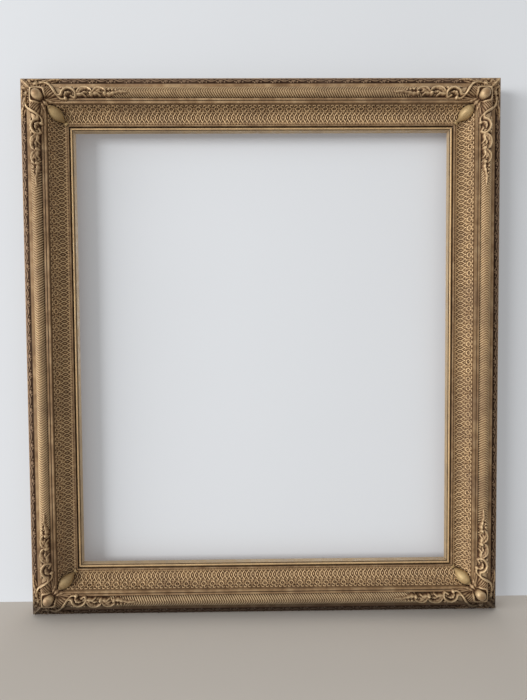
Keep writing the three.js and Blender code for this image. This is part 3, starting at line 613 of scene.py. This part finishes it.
slip_gilding = {along: gilding(f"gilded_slip_{along}", along, **SLIP_TONES) for along in "XZ"}
for side, (_, length, _) in SIDES.items():
    bar = on_side(mitred_bar(f"slip_bar_{side}", slip_outline, length, slip_tone), side)
    add_piece(f"slip_bar_{side}", bar, slip_gilding[GRAIN[side]], stands_for=[f"slip_{side}"])

# Corner ornaments: one composition casting to a corner, pressed from the same mould, steamed soft and glued
# over the mitre. A bud in a hood, S-ribs, curled scrolls with leaves, and a beaded tail along both arms.
CAST_GRID = 0.4  # spacing of the carved field, in mm
ROUTE_STEPS = 70
CAST_REACH = 149.0  # along an arm, from the outer corner
CAST_ACROSS = 46.0
BOSS_AT, BOSS_RADIUS, BOSS_LEVEL = 30.5, 6.4, 49.7
BOSS_STRETCH = 1.14  # along the mitre
FILLET_LEVEL, UPPER_FILLET, LOWER_FILLET = 40.0, 43.2, 42.4
UPPER_FILLET_END, LOWER_FILLET_END = 36.3, 38.9  # inward, in mm
CORNERS = {
    "top_left": (0, (-WIDTH / 2, HEIGHT)),
    "top_right": (pi / 2, (WIDTH / 2, HEIGHT)),
    "bottom_right": (pi, (WIDTH / 2, 0)),
    "bottom_left": (-pi / 2, (-WIDTH / 2, 0)),
}


def moulding_level(u):
    """Height of the finished moulding above its back on the outer half of a rail."""
    cushion = edge_mid[1] + np.sqrt(np.clip(edge_radius**2 - (u - edge_mid[0]) ** 2, 0, None))
    level = np.where(u < CHAMFER[0] - 0.8, cushion, FILLET_LEVEL)
    aside = np.clip(TORUS_RADIUS**2 - (u - TORUS_MID[0]) ** 2, 0, None)
    level = np.where(aside > 0, TORUS_MID[1] + np.sqrt(aside), level)
    level = np.where(u > TORUS_MID[0] + TORUS_RADIUS, UPPER_FILLET, level)
    level = np.where(u > UPPER_FILLET_END, LOWER_FILLET, level)
    return np.where(u > LOWER_FILLET_END, LOWER_FILLET - 1.1 * (u - LOWER_FILLET_END), level)


def soften(field, size):
    """A field smoothed over about that many mm both ways."""
    reach = int(ceil(3 * size / CAST_GRID))
    weights = np.exp(-0.5 * (np.arange(-reach, reach + 1) * CAST_GRID / size) ** 2)
    weights /= weights.sum()
    for axis in (0, 1):
        wide = np.pad(field, [(reach, reach) if a == axis else (0, 0) for a in (0, 1)], mode="edge")
        size_along = field.shape[axis]
        field = sum(w * np.take(wide, np.arange(i, i + size_along), axis) for i, w in enumerate(weights))
    return field


def curved(points):
    """A smooth route through points, in even steps."""
    p = np.array(points, float)
    p = np.vstack([2 * p[0] - p[1], p, 2 * p[-1] - p[-2]])
    route = []
    for a, b, c, d in zip(p, p[1:], p[2:], p[3:]):
        t = np.linspace(0, 1, 24, endpoint=False)[:, None]
        bend, twist = 2 * a - 5 * b + 4 * c - d, 3 * b - a - 3 * c + d
        route.append(0.5 * (2 * b + (c - a) * t + bend * t**2 + twist * t**3))
    route = np.vstack([*route, p[-2]])
    far = np.concatenate([[0], np.cumsum(np.hypot(*np.diff(route, axis=0).T))])
    even = np.linspace(0, far[-1], ROUTE_STEPS)
    return np.stack([np.interp(even, far, route[:, i]) for i in (0, 1)], axis=1)


cast_p, cast_q = np.meshgrid(
    np.arange(0, CAST_REACH, CAST_GRID), np.arange(0, CAST_ACROSS, CAST_GRID), indexing="ij")
NOTHING = -1.2  # below the moulding: no casting there


def from_route(points):
    """For every grid place: the distance to a route, the side of it, and the share of the route passed."""
    route = curved(points)
    far = np.full(cast_p.shape, 1e9)
    share, side = np.zeros(cast_p.shape), np.zeros(cast_p.shape)
    heading = np.gradient(route, axis=0)
    for i, ((x, y), (dx, dy)) in enumerate(zip(route, heading)):
        gap = (cast_p - x) ** 2 + (cast_q - y) ** 2
        near = gap < far
        far = np.where(near, gap, far)
        share = np.where(near, i / (len(route) - 1), share)
        side = np.where(near, np.sign((cast_p - x) * dy - (cast_q - y) * dx), side)
    return np.sqrt(far), side, share


def cord(points, width, height, taper=0.55, flute=0.0):
    """A rounded rib along a route, thinner at its ends, with a flute along one side if asked."""
    far, side, share = from_route(points)
    swell = taper + (1 - taper) * np.sin(pi * share**0.8)
    body = dome(far, width * swell)
    groove = flute * np.exp(-(((far * side) / width - 0.35) ** 2) / 0.02)
    return np.where(body > 0, height * swell * (body - groove), NOTHING)


def leaf(points, width, height, lobes):
    """A leaf along a route: lobed edges, a raised midrib and veins that run forward."""
    far, _, share = from_route(points)
    ends = np.sin(pi * np.clip(share, 0.02, 1) ** 0.62) ** 0.8
    half = width * ends * (0.8 + 0.2 * np.cos(2 * pi * lobes * share - 0.6)) + 1e-6
    x = far / half
    veins = 0.16 * np.cos(2 * pi * (lobes * share - 0.55 * x))
    midrib = 0.38 * np.exp(-((far / 0.8) ** 2))
    body = height * (0.45 + 0.55 * ends) * (0.62 + midrib + veins * (x > 0.15)) * dome(x, 1.05) ** 0.6
    return np.where(x < 1, body, NOTHING)


def ball(place, radius, height):
    body = dome(np.hypot(cast_p - place[0], cast_q - place[1]), radius)
    return np.where(body > 0, height * body, NOTHING)


def eyelet(place, radius, height):
    """A little ring with a dot in it."""
    reach = np.hypot(cast_p - place[0], cast_q - place[1])
    rim = np.maximum(dome(reach - 0.75 * radius, 0.32 * radius), dome(reach, 0.3 * radius))
    return np.where(reach < 1.1 * radius, height * np.maximum(rim, 0.15), NOTHING)


def along_torus(start, scale):
    """Sets points beside the torus's crest, from that far past the corner's middle."""

    def spots(*points):
        return [(TORUS_MID[0] + start + x * scale, TORUS_MID[0] + y * scale) for x, y in points]

    return spots


def scroll(start, scale):
    """A C-scroll that leaves the piece before it, rises over the torus and curls in on itself."""
    spots = along_torus(start, scale)
    rise = spots((-4.5, 4.9), (1, 4.9), (4.5, 0.4), (10.5, -3.1))
    curl = spots((17, -1.1), (20.5, 3.4), (18, 7.4), (13.5, 5.9))
    rope = cord(rise + curl, 2.05 * scale, 4.4 * scale, flute=0.3)
    inner = leaf(spots((5, 6.5), (9, 2.6), (15, 2.4)), 2.4 * scale, 3.0 * scale, 3)
    outer = spots((5, -3.2), (9.4, -5.4), (14.4, -5.2), (19, -3.2))
    scallops = [ball(place, 1.9 * scale, 2.8 * scale) for place in outer]
    return np.maximum.reduce([rope, inner, *scallops])


def rolled_leaf(start, scale):
    """A broad leaf along the torus, its tip rolled over, with a stalk and a small leaf in its hollow."""
    spots = along_torus(start, scale)
    stem = spots((-4.5, 4.6), (1, 5.2), (6, 4.4), (10, 6.6))
    middle = spots((-2, 3.6), (4, -2.4), (11, -3.6), (17, -1.0), (20, 3.0))
    back = spots((-2, 3.0), (4, -3.6), (11, -4.8), (17.5, -2.0), (20.4, 3.0))
    forms = [
        cord(stem, 1.5 * scale, 3.2 * scale),
        leaf(middle, 4.2 * scale, 3.6 * scale, 4),
        cord(back, 1.5 * scale, 4.4 * scale),
        ball(*spots((18.2, 4.4)), 2.6 * scale, 4.8 * scale),
        leaf(spots((5, 4.2), (9.5, 2.2), (14, 3.0)), 1.9 * scale, 2.6 * scale, 2),
    ]
    return np.maximum.reduce(forms)


def hood_and_fan(rib):
    """The rounded square hood round the boss, and the flutes that spread from its corner to the S-rib."""
    half = 9.4
    square = ((np.abs(cast_p - BOSS_AT) / half) ** 4 + (np.abs(cast_q - BOSS_AT) / half) ** 4) ** 0.25
    hood = np.where(np.abs(square - 1) < 0.18, 2.6 * dome(square - 1, 0.18), NOTHING)
    hood = np.where(square < 0.84, 0.1, hood)
    hood = np.where(cast_p + cast_q > 2 * BOSS_AT + 12, NOTHING, hood)
    _, side, _ = from_route(rib)
    hub = (33, 37)  # where the flutes meet
    turn = np.arctan2(cast_q - hub[1], cast_p - hub[0])
    reach = np.hypot(cast_p - hub[0], cast_q - hub[1])
    within = (side < 0) & (square > 1.1) & (cast_p > cast_q)
    within &= (cast_q > 15) & (cast_q < 36.5) & (reach < 26)
    fan = np.where(within, 1.2 + 0.8 * np.cos(42 * turn), NOTHING)
    return np.maximum(hood, fan)


def cast_arm():
    """How far one arm of the casting stands off the moulding."""
    rib = [(33, 12.5), (39, 12.5), (45.5, 16.5), (51, 23.4), (55, 30), (60, 34.2), (67, 34.6)]
    forms = [
        hood_and_fan(rib),
        cord(rib, 1.75, 4.2, 0.75, 0.3),
        scroll(34, 1.0),
        rolled_leaf(57.4, 0.92),
        rolled_leaf(77.4, 0.8),
        ball((66, 34), 2.5, 4.0),
        leaf([(5, 5), (12, 12), (21, 21)], 4.6, 3.0, 3),
        leaf([(21, 19), (27, 13), (34, 8.5), (41, 6.5)], 3.8, 2.8, 4),
        leaf([(14, 5), (22, 5.5), (30, 5)], 2.6, 2.0, 3),
        leaf([(34, 17), (40, 13.5), (47, 10), (52, 8)], 2.4, 2.2, 3),
        leaf([(60, 21), (66, 19.5), (72, 18.8)], 2.2, 1.8, 3),
        leaf([(83, 30), (88, 25), (95, 21.5), (101, 23)], 2.8, 2.8, 3),
        leaf([(103, 30), (109, 26), (115, 23.5), (121, 26)], 2.6, 2.6, 3),
        leaf([(116, 29), (123, 29.8), (130, 28.4), (138, 28)], 2.6, 2.4, 4),
        leaf([(133, 27), (140, 27.4), (148, 27.6)], 2.2, 2.0, 3),
        leaf([(33, 33), (38, 38), (43.5, 43.5)], 4.0, 3.0, 2),
        leaf([(37, 33), (43, 36.5), (50, 38)], 2.4, 2.2, 3),
        eyelet((15.5, 9), 2.7, 2.6),
        eyelet((24.5, 9.6), 2.1, 2.4),
        leaf([(38, 9.5), (44, 6.5), (51, 5.2), (58, 5.6)], 2.6, 2.2, 4),
        leaf([(6, 14), (10.5, 18), (13, 24)], 2.6, 2.4, 3),
        *[ball((45.5 + 3.2 * i, 5.2 + 0.4 * i), 1.5 - 0.2 * i, 2.0 - 0.3 * i) for i in range(3)],
        *[ball((123 + 4.6 * i, 24.4 + 0.5 * i), 1.7 - 0.12 * i, 2.4 - 0.2 * i) for i in range(5)],
    ]
    return np.maximum.reduce(forms)


def fringed(stand, width):
    """The same field with a thin dark skin round every form: painted shade at the forms' feet, with the
    dark glaze that gathers there.
    """
    reach = int(round(width / CAST_GRID))
    wide = np.pad(stand > 0, reach)
    near = np.zeros(stand.shape, bool)
    for di in range(-reach, reach + 1):
        for dj in range(-reach, reach + 1):
            if hypot(di, dj) <= reach + 0.2:
                near |= wide[reach + di : reach + di + len(stand), reach + dj : reach + dj + len(stand)]
    return np.where(near, np.maximum(stand, 0.15), stand)


def corner_casting():
    """The casting in its own frame: origin at the outer corner, one arm along +X and the other along -Z."""
    arm = cast_arm()
    size = arm.shape[0]
    stand = np.full((size, size), NOTHING)
    stand[:, : arm.shape[1]] = arm
    # a thin dark skin round the forms: painted shade and gathered glaze
    stand = soften(fringed(np.maximum(stand, stand.T), 0.9), 0.3)
    run = np.arange(size) * CAST_GRID
    inward = np.minimum(run[:, None], run[None, :])
    bed = moulding_level(inward)
    along, aside = (run[:, None] + run[None, :]) / sqrt(2), (run[:, None] - run[None, :]) / sqrt(2)
    spread = np.hypot((along - BOSS_AT * sqrt(2)) / BOSS_STRETCH, aside)
    boss = BOSS_LEVEL + BOSS_RADIUS * dome(spread, BOSS_RADIUS) ** 1.15
    top = np.maximum(soften(bed, 0.9), bed) + stand
    top = np.where(spread < BOSS_RADIUS, np.maximum(top, boss), top)
    kept = stand > -0.5
    cells = kept[:-1, :-1] | kept[1:, :-1] | kept[:-1, 1:] | kept[1:, 1:]
    cells &= (inward[:-1, :-1] > 1.6) & (inward[:-1, :-1] < 45)
    low = np.minimum(bed, top) - 0.7
    rise = np.where(spread < BOSS_RADIUS, 2.0, stand)
    relief = np.clip(0.14 + 0.12 * rise + 0.45 * (top - soften(top, 1.4)), 0, 1)
    place = np.stack(np.broadcast_arrays(run[:, None], -top, -run[None, :]), axis=-1).reshape(-1, 3)
    under = np.stack(np.broadcast_arrays(run[:, None], -low, -run[None, :]), axis=-1).reshape(-1, 3)
    i, j = np.nonzero(cells)
    a, b, c, d = i * size + j, i * size + j + 1, (i + 1) * size + j + 1, (i + 1) * size + j
    count = size * size
    faces = [np.stack([a, b, c, d], 1), np.stack([d, c, b, a], 1) + count]
    beyond = np.pad(cells, 1)
    for (di, dj), first, second in (((-1, 0), a, b), ((1, 0), c, d), ((0, -1), d, a), ((0, 1), b, c)):
        rim = ~beyond[i + 1 + di, j + 1 + dj]
        faces.append(np.stack([second, first, first + count, second + count], 1)[rim])
    faces = np.vstack(faces)
    used, numbered = np.unique(faces, return_inverse=True)
    places = np.vstack([place, under])[used] * MM
    toned = np.concatenate([relief.ravel(), np.zeros(count)])[used]
    return plain_mesh("casting", places, numbered.reshape(-1, 4), toned)


def on_corner(mesh, corner):
    turn, (x, z) = CORNERS[corner]
    mesh.transform(Matrix.Translation((x, BACK, z)) @ Matrix.Rotation(turn, 4, "Y"))
    return mesh


casting = corner_casting()
for corner in CORNERS:
    add_piece(f"casting_{corner}", on_corner(casting.copy(), corner), composition,
              stands_for=[f"corner_ornament_{corner}"], crease=60)

# Scoop buds: smooth buds of composition, glued on the mitres of the hollow over the joint of the pressed
# sheets. Each has a soft keel, a faint collar and a sprig of three leaves at its point, and is left pale.
BUD_RADIUS = 8.8
BUD_BUTT, BUD_POINT = (38.6, 37.6), (58.4, 24.9)  # inward and forward, on the mitre
SPRIG_LENGTH = 6.0
BUD_TONES = {"crest": tint(228, 205, 154), "ground": tint(174, 147, 103), "recess": tint(50, 35, 24)}


def scoop_level(u):
    """Height of the hollow's face above the back."""
    share = np.clip((SCOOP_MID[0] - u) / SCOOP_AXES[0], -1, 1)
    return SCOOP_MID[1] - SCOOP_AXES[1] * sqrt(1 - share**2)


def turned_form(rings, relief):
    """A closed form of rings of places, drawn to a point at both ends."""
    sides = len(rings[0])
    places = [tuple(sum(rings[0], Vector()) / sides), *(tuple(p) for ring in rings for p in ring)]
    places.append(tuple(sum(rings[-1], Vector()) / sides))
    last = len(places) - 1
    faces = [(0, 1 + (j + 1) % sides, 1 + j) for j in range(sides)]
    faces += skin(len(rings), sides, 1)
    faces += [(last, last - sides + j, last - sides + (j + 1) % sides) for j in range(sides)]
    tones = [relief[0][0], *(tone for ring in relief for tone in ring), relief[-1][0]]
    return places, faces, tones


def scoop_bud():
    """The bud itself: a faint collar, a soft keel to its point, and painted shade at its foot, where it
    meets the hollow.
    """
    butt, point = (Vector((u, -v, -u)) for u, v in (BUD_BUTT, BUD_POINT))
    axis = (point - butt).normalized()
    across = Vector((1, 0, 1)).normalized()
    up = across.cross(axis)
    length, steps, sides = (point - butt).length, 44, 60
    rings, relief = [], []
    for i in range(steps + 1):
        t = 0.002 + 0.996 * i / steps
        collar = 0.2 * np.exp(-(((t - 0.1) / 0.04) ** 2)) - 0.2 * np.exp(-(((t - 0.17) / 0.03) ** 2))
        radius = (BUD_RADIUS - 0.7) * sin(pi * t**0.76) ** (0.58 + 0.45 * t) + collar
        ring, tones = [], []
        for j in range(sides):
            angle = 2 * pi * j / sides
            keel = 0.7 * np.exp(-(((angle - pi / 2) / 0.3) ** 2)) * sin(pi * t)
            outward = across * cos(angle) + up * sin(angle)
            rim = butt + axis * (length * t) + outward * float(radius + keel)
            clear = -rim.y - scoop_level(min(rim.x, -rim.z))
            tone = 0.2 + 0.4 * sin(pi * t) + 0.3 * keel + 0.6 * collar
            ring.append(rim)
            # painted shade: the bud darkens towards where it meets the hollow
            tones.append(max(tone, 0) * np.clip((clear - 0.8) / 2.2, 0, 1))
        rings.append(ring)
        relief.append(tones)
    return turned_form(rings, relief)


def sprig_leaf(turn):
    """One flat pointed leaf from the bud's point, lying in the hollow and turned from the mitre."""
    steps = sides = 12
    rings, relief = [], []
    for i in range(steps + 1):
        t = 0.02 + 0.96 * i / steps
        run, half = SPRIG_LENGTH * t, 1.8 * sin(pi * t**0.7)
        ring = []
        for j in range(sides):
            aside, rise = half * cos(2 * pi * j / sides), 0.45 * half * sin(2 * pi * j / sides)
            far = BUD_POINT[0] - 1.6 + (run * cos(turn) - aside * sin(turn)) / sqrt(2)
            off = (run * sin(turn) + aside * cos(turn)) / sqrt(2)
            u, v = far + off, far - off
            ring.append(Vector((u, -(scoop_level(min(u, v)) + 0.3 + 2 * rise), -v)))
        rings.append(ring)
        # the leaf's upper face is lighter and its underside darker: painted shade under the leaf
        relief.append([0.2 + 0.5 * sin(2 * pi * j / sides) for j in range(sides)])
    return turned_form(rings, relief)


def bud_and_sprig():
    places, faces, tones = [], [], []
    for part in (scoop_bud(), *(sprig_leaf(turn) for turn in (-0.4, 0, 0.4))):
        faces += [tuple(k + len(places) for k in face) for face in part[1]]
        places += part[0]
        tones += part[2]
    return faced_out(plain_mesh("bud", np.array(places) * MM, faces, tones))


bud_gilding = gilding("gilded_bud", **BUD_TONES)
bud = bud_and_sprig()
for corner in CORNERS:
    add_piece(f"bud_{corner}", on_corner(bud.copy(), corner), bud_gilding,
              stands_for=[f"scoop_bud_{corner}"])

# Mitre nails and slip pins: cut iron brads, two across each mitre and two along each slip. They are driven
# from the outer edges and from behind, and have rusted brown.
IRON, RUST = tint(74, 70, 66), tint(96, 58, 38)


def iron_finish():
    material, tree, surface, place = new_finish("rusted_iron")
    rust = ramped(tree, patches(tree, place, 0.002), 0.4, 0.62)
    tree.links.new(mixed(tree, rust, IRON, RUST), surface.inputs["Base Color"])
    tree.links.new(ramped(tree, rust, 0, 1, 0.85, 0.2), surface.inputs["Metallic"])
    tree.links.new(ramped(tree, rust, 0, 1, 0.45, 0.8), surface.inputs["Roughness"])
    rough_skin(tree, surface, rust, 0.4, 0.0002)
    return material


rusted_iron = iron_finish()
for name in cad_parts:
    if name.startswith(("mitre_nail", "slip_pin")):
        dress(name, rusted_iron)

# Hangers: a brass strap with a rolled eye on the back of each upright, held by two slotted round-head
# screws. A D-shaped ring of brass wire turns in the eye.
RING_HALF, RING_LEG, RING_CORNER, RING_WIRE = 8.0, 4.0, 1.4, 1.2
RING_AXIS, EYE_HEIGHT = 36.0, 2.75  # inward from the outer edge, and behind the back
HANGER_DROP = 240.0
SCREW_PLACES = (13.0, 25.0)
SCREW_HEAD, SCREW_RISE = 2.7, 1.5
SLOT_HALF, SLOT_FLOOR = 0.35, 0.8
BRIGHT_BRASS, DULL_BRASS = tint(190, 152, 84), tint(112, 84, 48)


def brass_finish():
    material, tree, surface, place = new_finish("aged_brass")
    dull, specks = patches(tree, place, 0.006), patches(tree, place, 0.0008)
    colour = mixed(tree, ramped(tree, dull, 0.4, 0.65), BRIGHT_BRASS, DULL_BRASS)
    tree.links.new(colour, surface.inputs["Base Color"])
    tree.links.new(ramped(tree, dull, 0.35, 0.7, 0.3, 0.55), surface.inputs["Roughness"])
    surface.inputs["Metallic"].default_value = 0.95
    rough_skin(tree, surface, specks, 0.15, 0.0001)
    return material


def d_ring():
    """The ring's wire, round its straight bar, two legs and half-round end."""
    bend = RING_CORNER
    corner = RING_HALF - bend
    line = [(0, 0), (corner, 0)]
    line += [(corner + bend * sin(a), bend * (1 - cos(a))) for a in np.linspace(0.3, pi / 2, 5)]
    line += [(RING_HALF * cos(a), RING_LEG + RING_HALF * sin(a)) for a in np.linspace(0, pi, 33)]
    line += [(-corner - bend * cos(a), bend * (1 - sin(a))) for a in np.linspace(0, pi / 2 - 0.3, 5)]
    line += [(-corner, 0)]
    line = np.array(line)
    heading = np.roll(line, -1, axis=0) - np.roll(line, 1, axis=0)
    heading /= np.hypot(*heading.T)[:, None]
    sides, places, faces = 14, [], []
    for (x, y), (dx, dy) in zip(line, heading):
        for j in range(sides):
            a = 2 * pi * j / sides
            out = RING_WIRE * cos(a)
            places.append((x + dy * out, RING_WIRE * sin(a), -(y - dx * out)))
    for i in range(len(line)):
        for j in range(sides):
            k, m = (i + 1) % len(line), (j + 1) % sides
            faces.append((i * sides + j, k * sides + j, k * sides + m, i * sides + m))
    return faced_out(plain_mesh("ring", np.array(places) * MM, faces))


def screw_head():
    """A slotted round head, standing along +Y from its seat."""
    shape = bmesh.new()
    profile = [
        (0.0, SCREW_RISE), (0.9, 1.42), (1.7, 1.15), (2.3, 0.7), (SCREW_HEAD, 0.12), (SCREW_HEAD, 0.0),
        (1.3, 0.0), (0.0, 0.0),
    ]
    points = [shape.verts.new((r * MM, h * MM, 0)) for r, h in profile]
    edges = [shape.edges.new(pair) for pair in zip(points, points[1:])]
    bmesh.ops.spin(shape, geom=points + edges, cent=(0, 0, 0), axis=(0, 1, 0), angle=2 * pi, steps=24)
    bmesh.ops.remove_doubles(shape, verts=shape.verts, dist=0.005 * MM)
    half, floor = SLOT_HALF * MM, SLOT_FLOOR * MM
    for x in (-half, -0.8 * half, 0.8 * half, half):
        everything = [*shape.verts, *shape.edges, *shape.faces]
        bmesh.ops.bisect_plane(shape, geom=everything, plane_co=(x, 0, 0), plane_no=(1, 0, 0))
    for vert in shape.verts:
        if abs(vert.co.x) < 0.9 * half and vert.co.y > floor:
            vert.co.y = floor
    bmesh.ops.recalc_face_normals(shape, faces=shape.faces)
    mesh = bpy.data.meshes.new("screw_head")
    shape.to_mesh(mesh)
    shape.free()
    return mesh


brass = brass_finish()
for side in ("left", "right"):
    dress(f"hanger_strap_{side}", brass)
    along = (HEIGHT / MM / 2 - HANGER_DROP) * (1 if side == "left" else -1)
    ring = d_ring()
    ring.transform(Matrix.Translation((along * MM, EYE_HEIGHT * MM, -RING_AXIS * MM)))
    add_piece(f"ring_wire_{side}", on_side(ring, side), brass, f"ring_{side}",
              stands_for=[f"hanger_ring_{side}"])
    heads = run_of(screw_head(), len(SCREW_PLACES), SCREW_PLACES[1] - SCREW_PLACES[0], brass)
    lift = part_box(f"hanger_screw_{side}_outer")[1].y - BACK - SCREW_RISE * MM
    seat = Matrix.Translation((along * MM, lift, -SCREW_PLACES[1] * MM))
    heads.transform(seat @ Matrix.Rotation(pi / 2, 4, "Y"))
    add_piece(f"screw_heads_{side}", on_side(heads, side), brass,
              stands_for=[f"hanger_screw_{side}_outer", f"hanger_screw_{side}_inner"])

# Studio: a plain pale floor and wall, a wide soft lamp far on the left and a weak one behind. The camera is
# close to the frame, a little above its middle, and sees the wall and the sky paler than they shine.
ROOM_HALF, WALL_HEIGHT = 4.0, 3.5
FLOOR_TONE, WALL_TONE = tint(222, 216, 208), tint(214, 217, 221)
WALL_GLOW = 0.18
SKY, SKY_GLOW = 0.46, 0.24
SENSOR = 36.0
FOCAL_SHARE = 506 / 700  # focal length over the picture's longer side
CAMERA_TURN, CAMERA_TILT, CAMERA_ROLL = -0.627, 87.874, -0.398  # degrees
CAMERA_PLACE = (-0.0076, BACK - 0.7135, HEIGHT / 2 + 0.0254)


def looked_at(tree):
    """1 for what the camera sees, straight on or in a shiny or clear piece."""
    seen = add_node(tree, "ShaderNodeLightPath").outputs
    shiny = math_node(tree, "MAXIMUM", seen["Is Glossy Ray"], seen["Is Transmission Ray"])
    return math_node(tree, "MAXIMUM", seen["Is Camera Ray"], shiny)


def plain_ground(name, colour, one_sided=False):
    """A dull, faintly clouded ground; a one-sided one is clear from behind."""
    material, tree, surface, place = new_finish(name)
    pale = tuple(0.96 * c for c in colour[:3]) + (1,)
    tree.links.new(mixed(tree, patches(tree, place, 0.4), colour, pale), surface.inputs["Base Color"])
    surface.inputs["Roughness"].default_value = 0.9
    surface.inputs["Specular IOR Level"].default_value = 0.1
    if one_sided:
        surface.inputs["Emission Color"].default_value = colour
        glow = math_node(tree, "MULTIPLY", looked_at(tree), WALL_GLOW)
        tree.links.new(glow, surface.inputs["Emission Strength"])
        clear = add_node(tree, "ShaderNodeBsdfTransparent").outputs["BSDF"]
        back = add_node(tree, "ShaderNodeNewGeometry").outputs["Backfacing"]
        sides = {0: back, 1: surface.outputs["BSDF"], 2: clear}
        front = add_node(tree, "ShaderNodeMixShader", sides).outputs["Shader"]
        tree.links.new(front, tree.nodes["Material Output"].inputs["Surface"])
    return material


def sheet_of(name, corners, finish):
    mesh = bpy.data.meshes.new(name)
    mesh.from_pydata(corners, [], [(0, 1, 2, 3)])
    mesh.materials.append(finish)
    made = put_in_scene(name, mesh)
    return made


wall_y = cad_box[1].y + 1 * MM
floor_corners = [(x * ROOM_HALF, y * ROOM_HALF, 0) for x, y in ((-1, -1), (1, -1), (1, 1), (-1, 1))]
wall_corners = [(x * ROOM_HALF, wall_y, z * WALL_HEIGHT) for x, z in ((-1, 0), (1, 0), (1, 1), (-1, 1))]
floor = sheet_of("floor", floor_corners, plain_ground("pale_floor", FLOOR_TONE))
wall = sheet_of("wall", wall_corners, plain_ground("pale_wall", WALL_TONE, one_sided=True))
wall.visible_shadow = wall.visible_diffuse = wall.visible_glossy = floor.visible_diffuse = False


def soft_lamp(name, place, aim, size, power, sheen=1.0):
    lamp = bpy.data.lights.new(name, "AREA")
    lamp.shape = "RECTANGLE"
    lamp.size, lamp.size_y = size
    lamp.energy, lamp.specular_factor = power, sheen
    made = put_in_scene(name, lamp)
    made.location = place
    made.rotation_euler = (Vector(aim) - Vector(place)).to_track_quat("-Z", "Y").to_euler()


middle = Vector((0, 0, HEIGHT / 2))
soft_lamp("window", (-4.4, -2.8, 1.05), middle, size=(4.0, 1.7), power=250)
soft_lamp("behind", (0.35, 2.4, 0.5), middle, size=(1.4, 1.4), power=12, sheen=0.1)
world = bpy.data.worlds.new("room")
world.use_nodes = True
sky = world.node_tree.nodes["Background"]
sky.inputs["Color"].default_value = (1.0, 0.985, 0.965, 1)
pale_sky = math_node(world.node_tree, "MULTIPLY_ADD", looked_at(world.node_tree), SKY_GLOW, SKY)
world.node_tree.links.new(pale_sky, sky.inputs["Strength"])
bpy.context.scene.world = world

camera = put_in_scene("camera", bpy.data.cameras.new("camera"))
camera.data.sensor_width, camera.data.lens = SENSOR, SENSOR * FOCAL_SHARE
turned = Matrix.Rotation(radians(CAMERA_TURN), 4, "Z") @ Matrix.Rotation(radians(CAMERA_TILT), 4, "X")
rolled = turned @ Matrix.Rotation(radians(CAMERA_ROLL), 4, "Z")
camera.matrix_world = Matrix.Translation(CAMERA_PLACE) @ rolled
bpy.context.scene.camera = camera
bpy.context.scene.view_settings.view_transform = "Standard"
